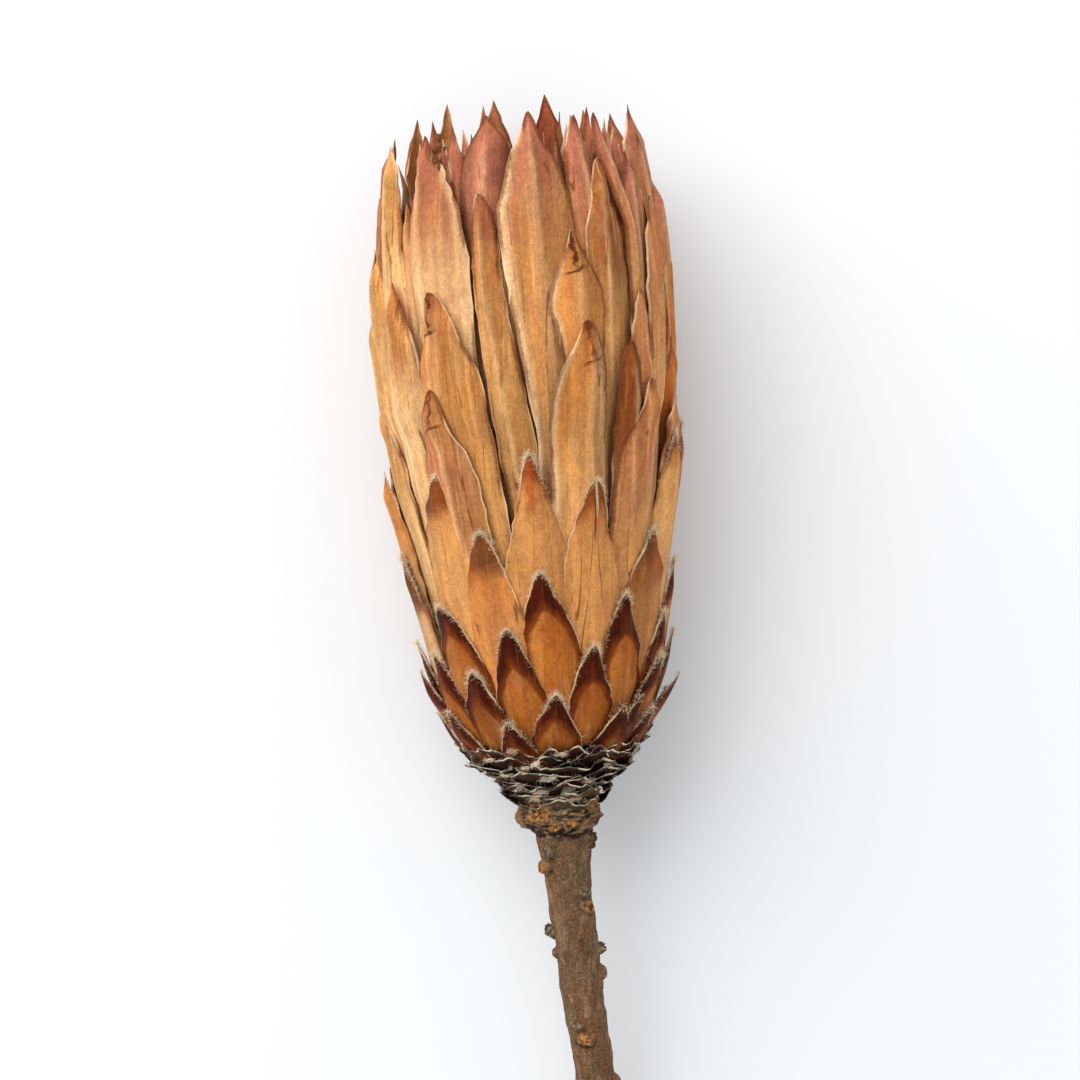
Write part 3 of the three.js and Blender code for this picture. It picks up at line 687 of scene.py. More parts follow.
# across the mouth, the same and the colour within
acrossMouth = [
    (162, 111.4, 0.94, 0, "rose", "red"), (188, 111.0, 0.88, 0, "rose", "rose"),
    (194, 110.2, 0.5, 1.2, "gold", "gold"), (213, 110.8, 0.75, 0, "pink", "gold"),
    (232, 108.5, 0.88, 0, "pink", "gold"), (142, 108.4, 0.75, 0, "gold", "gold"),
    (124, 107.4, 0.88, 0, "pink", "rose"), (102, 107.2, 0.88, 0, "pink", "rose"),
    (252, 105.5, 0.88, 0, "pink", "gold"),
]
shownBracts += [rosy(azimuth, tip, share=share, sunk=sunk, tint=tint, within=within)
                for azimuth, tip, share, sunk, tint, within in acrossMouth]

backRows = {
    "heights": [13, 18, 24, 32, 42, 53, 65, 77, 89, 99, 107],
    "highest": 104,  # those above are across the mouth, in the list before this
    "count": 4,  # and one more in every other row
    "step": 38,
    "middle": 180,
    "turnJitter": 5,
    "heightJitter": 2.4,
    "tints": ["tan", "gold", "cream", "pink", "grey"],
}

# what closes the gaps behind the shown bracts: rows of plain blades on the layer underneath
innerRows = {
    "heights": [42, 62, 82, 96, 101],
    "sunk": [6.6, 5.4, 3.8, 2.8, 4.2],
    "count": 13,
    "share": 1.15,
    "shade": 0.42,
    "shadeWithin": 0.5,
    "shortBelow": 50,  # rows below this belong to the short bracts
}


def draw01(seed):
    x = math.sin(seed * 12.9898) * 43758.5453
    return x - math.floor(x)


def usualFinish(tip):
    return "edged" if tip < 37 else "capped" if tip < 58 else "tan" if tip < 96 else "rosy"


def backBracts():
    made = []
    tints = backRows["tints"]
    for row, height in enumerate(backRows["heights"]):
        count = backRows["count"] + row % 2
        for i in range(count):
            seed = row * 5 + i + 1
            azimuth = backRows["middle"] + (i - (count - 1) / 2) * backRows["step"]
            azimuth += (draw01(seed) - 0.5) * backRows["turnJitter"]
            tip = height + (draw01(seed + 100) - 0.5) * backRows["heightJitter"]
            if tip <= backRows["highest"]:
                made.append(bract(usualFinish(tip), azimuth, tip, tint=tints[seed % 5], plain=True))
    return made


def reach(points, usual, fromTip, share):
    # how far one edge lies from the bract's own middle line
    return usual * share if points is None else curve([(0, 0.12)] + points, fromTip)


def bractDye(spec, down, side, facing, half, draw):
    finish, tip = spec["finish"], spec["tip"]
    paintedLitSide = spec["azimuth"] < -40  # painted light: bracts on the left side, towards the lamp, are painted lighter lower down
    warm = draw.uniform(-1, 1)
    tint = np.array(dyes[spec.get("tint", "tan")])
    tint = tint * (1 + 0.07 * warm) * np.array([1, 1 - 0.04 * warm, 1 - 0.1 * warm])
    if finish == "edged":
        body = mixColour(dyes["panel"], dyes["panelLow"], smooth(4, 14, down)) * (1 + 0.08 * warm)
        # painted shade: a short bract is painted darker low down, where it lies under the neck scales
        body = body * (0.25 + 0.75 * smooth(6.5, 10, tip - down))[..., None]  # dark under the scales
        body = body * (0.80 if tip < 22 else 0.92 if tip < 30 else 1)
        return body * (0.45 if spec.get("dark") else 1), np.zeros(down.shape)
    start, full = (4, 13) if finish == "capped" else (8, 24) if paintedLitSide else (11, 30)
    low = spec.get("creamLow", 0.58) * smooth(start, full, down)
    body = mixColour(tint, dyes["paintedLightIvory" if paintedLitSide else "cream"], low)
    if finish == "capped":
        body = mixColour(body, dyes["orange"], 0.5 * smooth(8.5, 4, down))
    if spec.get("brownTip"):
        body = mixColour(body, dyes["brown"], 0.8 * smooth(4.2, 1.0, down))
    if spec.get("brownEdge"):
        body = mixColour(body, dyes["brown"], 0.75 * smooth(-0.62, -0.95, side) * smooth(1, 4, down))
    body = body * np.array([1.0, 0.945, 0.92])
    rosy, dusk = np.zeros(down.shape), np.zeros(down.shape)
    if finish == "rosy" or spec.get("roseTip"):
        far = spec.get("roseFar", 15) * draw.uniform(0.8, 1.15)
        rosy = 0.95 * np.exp(-(down / far) ** 2)
        body = mixColour(body, dyes["rose"], rosy)
        body = mixColour(body, dyes["deepRose"], 0.5 * np.exp(-(down / (far * 0.13)) ** 2))
    if spec.get("duskFar"):
        dusk = 0.66 * np.exp(-(down / spec["duskFar"]) ** 2)
        body = mixColour(body, dyes["brown"], dusk)
    # painted light and shade: the side of the fold away from the lamp is painted darker and browner, the
    # side towards it lighter, and the fold line itself gets a painted highlight
    folded = 0 if finish == "capped" else 1
    paintedFoldShade = smooth(-0.12, 0.12, side - facing) * smooth(1, 6, down) * folded
    body = body * (1.12 - 0.30 * paintedFoldShade)[..., None] * (1 - paintedFoldShade[..., None] * np.array([0, 0.03, 0.10]))
    paintedCrestHighlight = np.exp(-(((side - facing) * half / 0.35) ** 2)) * smooth(2, 9, down) * folded
    body = mixColour(body, dyes["paintedLightIvory"], 0.5 * paintedCrestHighlight * (1 - dusk))
    # painted shade down both sides of the fold, for a bract sunk between its neighbours
    if spec.get("sidesDark"):
        away = 1 - np.exp(-(((side - facing) * half / 2.0) ** 2))
        body = body * (1 - spec["sidesDark"] * away)[..., None]
    # painted highlight along a rolled margin
    for name, where in (("paleLeft", -side), ("paleRight", side)):
        amount = min(1, spec.get(name, 0)) * smooth(0.62, 0.9, where)
        body = mixColour(body, dyes["rolled"], 0.9 * amount * smooth(1.5, 5, down))
    if spec.get("rightGrey"):
        body = mixColour(body, dyes["grey"], 0.8 * smooth(0.3, 0.8, side))
    return body, rosy


def addBract(pile, spec, index, wool=None, inner=False):
    tip, finish = spec["tip"], spec["finish"]
    form, draw = finishes[finish], random.Random(1000 + index)
    kind = "short" if tip < bractShape["shortTips"] else "tall"
    shown = min(spec.get("long", float(curve(bractShape["shown"], tip))), tip - 4)
    least, perMm, columns = bractShape["grid"]["plain" if inner or spec.get("plain") else kind]
    fromTip = shown * np.linspace(0, 1, int(least + shown * perMm)) ** 1.45 + 0.03
    height = tip - fromTip
    u = np.linspace(-1, 1, columns)
    share = spec.get("share", 1.0)
    narrowing = np.sin(math.pi / 2 * np.minimum(1, fromTip / curve(bractShape["taper"], tip)))
    usual = curve(bractShape["width"], tip) / 2 * narrowing ** form["blunt"]
    sides = []
    for points in (spec["left"], spec["right"]):
        line = reach(points, usual, fromTip, share)
        rag = 0.07 * ripple(fromTip, draw, 1.5) + 0.11 * ripple(fromTip, draw, 4.5)
        if points is None:
            rag = rag + 0.03 * line * ripple(fromTip, draw, 11)
        sides.append(line + rag * smooth(0.2, 3, fromTip) * min(1, share + 0.2))
    slim = 0.80 + 0.20 * smooth(0, 7, fromTip)
    left, right = -sides[0] * slim, sides[1] * slim
    middle, half = (left + right) / 2, np.maximum((right - left) / 2, 0.06)
    across = middle[:, None] + u[None, :] * half[:, None]
    down = np.broadcast_to(fromTip[:, None], across.shape)
    side = np.broadcast_to(u[None, :], across.shape)
    layer = layerRadius(height, tip)[:, None]
    sunk = spec.get("sunk", 0.0) * smooth(-10, 8, down)

    # the relief over the plain layer
    lift = spec.get("lift", form["lift"]) * draw.uniform(0.5, 1.4)
    lift = lift * np.exp(-(down / form["curl"]) ** 2) + spec.get("proud", 0.0) * np.exp(-(down / 6) ** 2)
    crown = form["crown"] * (1 - side ** 2) * smooth(0, 5, down) * min(1, share + 0.3)
    keelAt = spec.get("keelAt", draw.uniform(-0.3, 0.3))
    fold = np.abs(side - keelAt) / np.where(side > keelAt, 1 - keelAt, 1 + keelAt)
    keel = 1.4 * spec.get("keel", form["keel"] * draw.uniform(0.5, 1.3)) * share
    keel = keel * (1 - fold) * smooth(0.5, 5, down) * smooth(60, 12, down)
    roll = spec.get("roll", draw.uniform(-0.7, 0.7) * bractShape["roll"][kind]) * side * smooth(0, 7, down)
    pleat = bractShape["pleat"][kind] * ripple(across + draw.uniform(0, 9), draw, 3.6, 3)
    pleat = pleat * smooth(1, 8, down) * (0.6 + 0.4 * ripple(down, draw, 22, 2))
    flutter = bractShape["flutter"] * np.abs(side) ** 3 * ripple(down + 3 * np.sign(side), draw, 6)
    flutter = flutter * smooth(0.5, 4, down)
    rolled = spec.get("paleLeft", 0) * smooth(0.6, 1.0, -side)
    rolled = rolled + spec.get("paleRight", 0) * smooth(0.6, 1.0, side)
    rolled = bractShape["rolledEdge"] * rolled * smooth(2, 6, down)
    dent = 0.0
    if spec.get("crease"):
        dent = -bractShape["crease"] * np.exp(-((down - spec["crease"]) / 0.35) ** 2)
    radius = layer - sunk + lift + crown + keel + roll + pleat + flutter + rolled + dent
    turn = math.radians(spec["azimuth"]) + across / np.maximum(layer - sunk, 6)
    level = np.broadcast_to(height[:, None], turn.shape)
    outer = aroundAxis(turn, level, radius)
    thick = bractShape["thick"] * (1 - 0.4 * np.abs(side) ** 4) * (0.25 + 0.75 * smooth(0, 3, down))
    under = aroundAxis(turn, level, radius - thick)
    edge = np.minimum(half[:, None] * (1 - np.abs(side)), down * 0.9 + 0.02)

    dye, rosy = bractDye(spec, down, side, keelAt, half[:, None], draw)
    underDye = mixColour(*insides[spec.get("within", "rose")], smooth(2, 9, down))
    # painted shade: the inner blades and their insides are darkened, to stand for the shade in the gaps
    # between the shown bracts
    if inner:
        dye, underDye = dye * innerRows["shade"], underDye * innerRows["shadeWithin"]
    capFrom, capTo = (3.2, 4.6) if finish != "edged" else (4.0, 5.0) if tip < 20 else (4.8, 6.2)
    top = spec.get("top", draw.uniform(capFrom, capTo))
    pile.add(stacked(outer, under), leafFaces(len(fromTip), columns), dye=stacked(dye, underDye),
             fromTip=twice(down), across=twice(across), edge=twice(edge), rosy=twice(rosy),
             grain=draw.random(), top=top, banded=float(finish == "edged"),
             capped=float(finish == "capped"), **{mark: spec.get(mark, 0.0) for mark in stains})
    amount = (form["wool"] or 1) * spec["wooly"] if "wooly" in spec else form["wool"]
    if wool is not None and amount:
        wool.fringe(outer, fromTip, amount * (0.1 if spec.get("plain") else 1), draw)


# reach is how far down a bract the wool goes
woolStyle = {"length": 1.0, "thick": 0.042, "perMm": 50, "reach": 8.0, "curl": 0.24}


class Hairs:
    def __init__(self):
        self.planted = []

    def plant(self, root, way, length, shade, thick):
        self.planted.append((root, way / np.linalg.norm(way), length, shade, thick))

    def fringe(self, outer, fromTip, amount, draw):
        # wool along both edges of a bract, thickest round its tip
        style = woolStyle
        middle = outer[:, outer.shape[1] // 2, :]
        for side in (0, -1):
            line = outer[:, side, :]
            for k in range(len(fromTip) - 1):
                if fromTip[k] > style["reach"]:
                    break
                a, b = line[k], line[k + 1]
                fade = math.exp(-fromTip[k] / 2.2) + 0.10
                count = np.linalg.norm(b - a) * style["perMm"] * amount * fade
                out = a - middle[k]
                out = out / (np.linalg.norm(out) + 1e-6) if fromTip[k] > 0.15 else np.zeros(3)
                away = np.array([a[0], 0, a[2]]) / (np.hypot(a[0], a[2]) + 1e-6)
                for _ in range(int(count + draw.random())):
                    root = a + (b - a) * draw.random() - out * draw.uniform(0, 0.35)
                    root = root - away * draw.uniform(0.0, 0.35)
                    way = out * draw.uniform(-0.5, 0.9) + away * draw.uniform(-0.1, 0.7)
                    way = way + np.array([draw.gauss(0, 0.5), draw.uniform(-0.2, 1.0), draw.gauss(0, 0.5)])
                    length = style["length"] * draw.uniform(0.35, 1.2) * (0.5 + 0.6 * min(1, fade))
                    self.plant(root, way, length, draw.random() ** 2 * 0.6, style["thick"])

    def growInto(self, pile, seed, joints):
        draw = np.random.RandomState(seed)
        root, way, length, shade, thick = (np.array(column) for column in zip(*self.planted))
        n = len(root)
        bendWay = draw.normal(0, 1, (n, 3))
        bendWay -= way * (bendWay * way).sum(1, keepdims=True)
        bendWay /= np.linalg.norm(bendWay, axis=1, keepdims=True) + 1e-9
        sideWay = np.cross(way, bendWay)
        t = np.linspace(0, 1, joints)
        spine = root[:, None] + way[:, None] * t[None, :, None] * length[:, None, None]
        curl = woolStyle["curl"] * draw.uniform(0.4, 1.4, (n, 1)) * length[:, None]
        turns = draw.uniform(2.0, 5.5, (n, 1)) * t[None, :]
        spine = spine + bendWay[:, None] * ((1 - np.cos(turns)) * curl)[:, :, None]
        spine = spine + sideWay[:, None] * (np.sin(turns) * curl)[:, :, None]
        rings = []
        for k in range(3):
            a = k * 2 * math.pi / 3
            off = bendWay * math.cos(a) + sideWay * math.sin(a)
            girth = (1 - 0.7 * t ** 2)[None, :, None] * thick[:, None, None] / 2
            rings.append(spine + off[:, None] * girth)
        points = np.stack(rings, 2)  # hair, joint, corner
        pile.add(points, bandFaces(joints, 3, n), grain=np.repeat(shade, joints * 3))
        print(n, "hairs")

    def toObject(self, name, skin, slot, seed, joints):
        pile = Pile()
        self.growInto(pile, seed, joints)
        pile.toObject(name, skin, [], slot, 180)


# broken bits caught beside the left tip, and a needle further down: azimuth, height, how proud, size
crumbs = [
    (-33, 104.6, 0.6, (0.7, 1.1, 0.35)), (-31.5, 103.4, 1.0, (0.6, 0.8, 0.4)),
    (-33.5, 102.6, 1.2, (0.8, 0.7, 0.4)), (-31, 101.7, 1.2, (0.5, 0.9, 0.35)),
    (-33, 101.0, 1.3, (0.9, 0.5, 0.4)), (-31.6, 100.2, 1.1, (0.5, 1.2, 0.3)),
    (-29.5, 102.8, 0.9, (0.5, 0.6, 0.3)), (-34.6, 101.8, 1.4, (0.4, 1.4, 0.3)),
    (22.5, 69.6, 1.7, (2.3, 0.35, 0.15)),
]


def makeBracts():
    shortPile, tallPile, wool = Pile(), Pile(), Hairs()
    for index, spec in enumerate(shownBracts + backBracts()):
        short = spec["tip"] < bractShape["shortTips"]
        addBract(shortPile if short else tallPile, spec, index, wool)
    for row, (height, sunk) in enumerate(zip(innerRows["heights"], innerRows["sunk"])):
        for i in range(innerRows["count"]):
            azimuth = (i + 0.5 * (row % 2)) * 360 / innerRows["count"]
            tip = height + (draw01(row * 31 + i) - 0.5) * 3
            spec = tan(azimuth, tip, share=innerRows["share"], sunk=sunk, keel=0)
            short = height < innerRows["shortBelow"]
            addBract(shortPile if short else tallPile, spec, 500 + row * 20 + i, inner=True)
    bare = dict.fromkeys(("top", "banded", "capped", "rosy", *stains), 0.0)
    for seed, (azimuth, height, proud, size) in enumerate(crumbs):
        tone = np.array(dyes["brown"]) * (0.3 + 0.5 * draw01(seed + 40))
        addLump(tallPile, azimuth, height, float(headRadius(height)) + proud, size, seed + 20, dye=tone,
                fromTip=30.0, across=9.0, edge=3.0, grain=draw01(seed), **bare)
    shortSkin = bractMaterial("darkEdgedBract", 0.48, 0.30, 0.25, 0.0, 0.6)
    tallSkin = bractMaterial("tanBract", 0.52, 0.45, 0.7, 0.36, 0.0)
    shortPile.toObject("shortBracts", shortSkin, ["outer_bracts"], "dark_bract")
    tallPile.toObject("tallBracts", tallSkin, ["tall_bracts"], "tan_bract", 40)
    woolSkin = hairMaterial("paleWool", (1.0, 0.86, 0.63), (0.78, 0.46, 0.22))
    wool.toObject("tipWool", woolSkin, "dark_bract", 5, 4)


neck = {
    "radius": [(-3.2, 6.2), (-1, 7.0), (1, 8.8), (3, 11.0), (5, 12.9), (7, 14.3), (9, 15.6), (12, 17.2)],
    "rings": [-1.5, -0.3, 1.0, 2.4, 3.8, 5.3, 6.8, 8.1],
    "counts": [3, 3, 4, 4, 5, 5, 6, 7],
    "overlap": 1.3,
    "long": 3.4,
    "thick": 0.34,
    "wave": 0.55,
    "arch": 1.3,
    "proud": 0.35,
    "tuck": 0.42,
    "grid": (12, 33),  # rows and columns of one scale
    "fuzzThick": 0.055,
    "feltThick": 0.07,
    "feltHairs": 40,
}


def addScale(pile, fuzz, azimuth, tip, width, index):
    draw = random.Random(4000 + index)
    rows, columns = neck["grid"]
    long = neck["long"] * draw.uniform(0.8, 1.15)
    fromTip = long * np.linspace(0, 1, rows) ** 1.4
    u = np.linspace(-1, 1, columns)
    x = u * width / 2
    brow = neck["wave"] * ripple(x, draw, 7.5, 2) + 0.17 * ripple(x, draw, 1.7)
    arch = -neck["arch"] * np.abs(u) ** 4
    height = tip + (arch + brow)[None, :] * np.exp(-fromTip / 2.5)[:, None] - fromTip[:, None]
    across = x[None, :] * (0.88 + 0.12 * np.minimum(1, fromTip / 2))[:, None]
    base = curve(neck["radius"], height)
    flare = (0.6 + 0.6 * ripple(x + 5, draw, 6.0) + 0.16 * ripple(x, draw, 1.3)) * draw.uniform(0.4, 1.7)
    flare = flare * float(1 - 0.6 * smooth(5, 9, tip))
    radius = base + neck["proud"] + flare[None, :] * np.exp(-(fromTip / 0.9) ** 2)[:, None]
    radius = radius - neck["tuck"] * np.minimum(fromTip, 1.5)[:, None] + 0.1 * ripple(across, draw, 2.2)
    turn = math.radians(azimuth) + across / np.maximum(base, 5)
    outer = aroundAxis(turn, height, radius)
    thick = neck["thick"] * (0.75 + 0.25 * smooth(0, 1, fromTip))[:, None] * np.ones_like(u)[None, :]
    under = aroundAxis(turn, height - 0.12, radius - thick)
    edge = np.minimum(fromTip[:, None], (1 - np.abs(u))[None, :] * width * 0.5)
    dye = mixColour(scaleSkin["black"], scaleSkin["brown"], draw.random() ** 2)
    dye = mixColour(dye, scaleSkin["grey"], smooth(3.0, 0, tip) * draw.uniform(0.0, 0.5))
    dye = mixColour(dye, scaleSkin["purple"], 0.8 * smooth(5, 8, tip))
    pile.add(stacked(outer, under), leafFaces(rows, columns),
             dye=np.repeat([dye, dye * 0.5], edge.size, axis=0), edge=twice(edge))
    patches = ripple(x, draw, 5.0)
    for k in range(columns - 1):
        for _ in range(int((1.0 + 4.5 * patches[k]) * draw.random() + 0.4)):
            root = outer[0, k] + (outer[0, k + 1] - outer[0, k]) * draw.random()
            out = np.array([root[0], 0, root[2]]) / np.hypot(root[0], root[2])
            way = out * draw.uniform(-0.2, 1.0)
            way = way + np.array([draw.gauss(0, 0.5), draw.gauss(0.4, 0.4), draw.gauss(0, 0.5)])
            fuzz.plant(root - out * draw.uniform(0, 0.3), way, draw.uniform(0.25, 0.75),
                       draw.random() * 0.7, neck["fuzzThick"])


def addLump(pile, azimuth, height, radius, size, seed, **marks):
    # a small rough lump: felt between the scales, a crumb on a bract
    rings, sides = 11, 20
    a = np.linspace(0, math.pi, rings)[:, None]
    b = np.linspace(0, 2 * math.pi, sides, endpoint=False)[None, :]
    x, y, z = np.sin(a) * np.cos(b), np.cos(a) + 0 * b, np.sin(a) * np.sin(b)
    bumps = np.ones(x.shape)
    for i in range(rings):
        for j in range(sides):
            spot = Vector((x[i, j] * 1.4, y[i, j] * 1.4, z[i, j] * 1.4 + seed * 7.0))
            bumps[i, j] += 0.7 * noise.noise(spot) + 0.45 * noise.noise(spot * 2.9)
    wide, tall, deep = size
    turn = math.radians(azimuth) + x * bumps * wide / 2 / radius
    points = aroundAxis(turn, height + (y + 0.3 * x) * bumps * tall / 2, radius + z * bumps * deep)
    pile.add(points, bandFaces(rings, sides, inward=True), **marks)


feltDabs = [
    # azimuth, height, width, how tall, colour
    (-12, 5.6, 1.5, 0.9, (0.66, 0.54, 0.42)), (-20, 5.0, 1.4, 0.7, (0.60, 0.50, 0.40)),
    (-37, 3.8, 2.2, 0.6, (0.58, 0.47, 0.36)), (-6, 2.9, 2.6, 0.8, (0.55, 0.46, 0.36)),
    (-34, 1.4, 1.2, 0.8, (0.44, 0.38, 0.29)), (12, 0.4, 2.2, 1.4, (0.20, 0.18, 0.12)),
    (-24, 8.2, 1.6, 0.9, (0.34, 0.20, 0.12)),
    (40, 4.4, 1.4, 0.5, (0.50, 0.40, 0.30)), (150, 4.0, 2.2, 0.9, (0.50, 0.41, 0.31)),
    (230, 2.4, 2.0, 0.8, (0.44, 0.36, 0.27)),
    (-16, 0.4, 2.4, 0.6, (0.52, 0.42, 0.30)), (30, 1.8, 2.0, 0.5, (0.50, 0.40, 0.29)),
    (4, 7.2, 1.8, 0.5, (0.56, 0.44, 0.32)), (-44, 6.4, 1.6, 0.5, (0.50, 0.38, 0.27)),
    (-27, -0.9, 1.8, 0.7, (0.40, 0.31, 0.21)), (20, -1.3, 2.2, 0.6, (0.38, 0.30, 0.20)),
]


def makeNeckScales():
    pile, fuzz = Pile(), Hairs()
    index = 0
    for ring, (tip, count) in enumerate(zip(neck["rings"], neck["counts"])):
        around = 2 * math.pi * float(curve(neck["radius"], tip))
        for i in range(count):
            azimuth = (i + ring * 0.43 + (draw01(index + 700) - 0.5) * 0.35) * 360 / count
            width = around / count * neck["overlap"] * (0.85 + 0.3 * draw01(index + 900))
            addScale(pile, fuzz, azimuth, tip + (draw01(index + 800) - 0.5) * 0.8, width, index)
            index += 1
    for seed, (azimuth, height, width, tall, colour) in enumerate(feltDabs):
        radius = float(curve(neck["radius"], height)) + 0.75
        addLump(pile, azimuth, height, radius, (width, tall, 0.3), seed, dye=colour, edge=2.0)
        draw = random.Random(600 + seed)
        out = outward(math.radians(azimuth))
        for _ in range(neck["feltHairs"] if colour[0] > 0.3 else 0):  # none on the dark dabs
            turn = math.radians(azimuth) + draw.uniform(-0.6, 0.6) * width / radius
            root = aroundAxis(turn, height + draw.uniform(-0.6, 0.6) * tall, radius)
            way = out * draw.uniform(0.1, 1) + np.array([draw.gauss(0, 0.7) for _ in range(3)])
            fuzz.plant(root, way, draw.uniform(0.3, 0.9), draw.random() * 0.4, neck["feltThick"])
    pile.toObject("neckScales", scaleMaterial(), ["neck_scales"], "withered_scale", 70)
    fuzzSkin = hairMaterial("scaleFuzz", (0.78, 0.64, 0.47), (0.38, 0.26, 0.16))
    fuzz.toObject("scaleFuzz", fuzzSkin, "withered_scale", 3, 4)


stem = {
    "length": 100,
    "sway": 0.00125,  # the bend to the right and down, per mm squared
    "sag": 0.00063,
    "cutSlant": 0.35,
    "radius": [(-100, 3.4), (-60, 3.2), (-45, 3.2), (-35, 3.4), (-25, 3.5), (-17, 3.65), (-11, 4.1),
               (-8.5, 4.6), (-6.4, 5.4), (-5.0, 5.9), (-3.2, 5.7), (-1.8, 6.0), (0, 6.2), (2, 6.2)],
    "shift": [(-100, 0), (-50, 0.15), (-36, 0.6), (-10, 0.6), (-3, 0), (2, 0)],
    "lumps": [(0.17, 0.5, 0.22), (0.12, 1.5, 0.7), (0.07, 3.4, 2.4)],  # how high, then per mm
    "knuckle": (-9.5, -6.5),  # its wavy rings come in between these heights
    "waist": 7.4,  # so far under the flower
    "waistDepth": 0.35,
    "rows": 620,
    "columns": 110,
}

# height, azimuth, how proud, how wide, and what it is
knobs = [
    (-3.5, -28, 1.5, 2.3, "scar"), (-4.9, -74, 1.6, 1.7, "scar"), (-3.3, 64, 1.6, 1.8, "scar"),
    (-5.6, 58, 1.2, 1.3, "darkScar"), (-5.6, 16, 0.9, 1.3, "scar"), (-5.9, -10, 0.8, 1.2, "scar"),
    (-3.0, 12, 0.7, 1.9, "green"), (-1.6, 34, 0.6, 1.6, "green"), (-1.4, -44, 0.8, 1.3, "darkScar"),
    (-4.6, 38, 0.7, 1.2, "bark"), (-2.0, -8, 0.5, 1.3, "bark"),
    (-4.6, 110, 1.2, 1.8, "scar"), (-5, 150, 1, 2, "scar"), (-5.4, 215, 0.9, 1.8, "bark"),
    (-4.0, 250, 1.1, 1.6, "darkScar"), (-3.6, 180, 0.9, 1.8, "green"),
    (-10.2, -36, 0.8, 1.2, "grey"), (-12.9, -60, 1.5, 1.3, "scar"), (-8.4, 64, 1.3, 1.1, "dark"),
    (-9.9, 70, 0.8, 0.9, "dark"), (-17.3, 36, 0.9, 1.3, "grey"), (-19.7, 44, 0.8, 1.2, "scar"),
    (-27.4, -84, 0.7, 1.2, "bark"), (-31, 84, 0.9, 1.3, "bark"), (-39.2, -25, 0.9, 1.0, "grey"),
    (-41.6, -13, 0.8, 1.3, "scar"), (-23, 170, 0.8, 1.8, "bark"), (-35, 215, 0.7, 1.7, "scar"),
    (-50, 95, 0.8, 1.9, "bark"), (-58, -50, 0.8, 1.8, "scar"), (-67, 160, 0.7, 1.8, "bark"),
    (-76, 25, 0.9, 2, "scar"), (-87, -110, 0.8, 1.8, "bark"),
]
knobDyes = {
    "scar": (0.40, 0.160, 0.033),
    "darkScar": (0.115, 0.030, 0.012),
    "dark": (0.028, 0.018, 0.013),
    "grey": (0.155, 0.125, 0.085),
    "green": (0.210, 0.170, 0.098),
    "bark": (0.20, 0.115, 0.062),
}

barkDyes = {
    "plain": (0.130, 0.073, 0.037),
    "redder": (0.150, 0.062, 0.025),
    "knuckle": (0.33, 0.220, 0.120),
    "lip": (0.33, 0.22, 0.125),
    "weep": (0.27, 0.095, 0.024),
}

stubGrid = {"rings": 9, "sides": 16}
# broken twigs: height, azimuth, how long, how thick
stubs = [(-24.5, -88, 1.4, 1.0), (-28, 84, 1.2, 0.9), (-52, 150, 1.4, 1.0), (-71, -75, 1.6, 1.0)]


def stemMiddle(height):
    low = np.minimum(height, 0)
    return stem["sway"] * low ** 2 + curve(stem["shift"], height), -stem["sag"] * low ** 2


def barkNoise(azimuth, height, plain):
    # lumps and wrinkles of the bark, in mm
    made = np.zeros((len(height), azimuth.shape[1]))
    turns = [(math.sin(a), math.cos(a)) for a in azimuth[0]]
    for i in range(len(height)):
        h, r = height[i, 0], plain[i, 0]
        knuckle = float(smooth(*stem["knuckle"], h))
        for j, (s, c) in enumerate(turns):
            x, z = s * r, c * r
            value = sum(high * noise.noise(Vector((x * wide, h * long, z * wide)))
                        for high, wide, long in stem["lumps"])
            if knuckle > 0:  # wavy rings under the flower
                fold = abs(noise.noise(Vector((x * 0.45, h * 1.15, z * 0.45))))
                ringed = noise.noise(Vector((x * 1.1, h * 2.0, z * 1.1)))
                value += knuckle * (1.2 * (0.24 - fold) + 0.3 * ringed)
                crevice = noise.noise(Vector((x * 0.6 + 9, h * 1.3, z * 0.6)))
                value -= knuckle * 0.6 * math.exp(-((crevice / 0.07) ** 2))
            made[i, j] = value
    return made


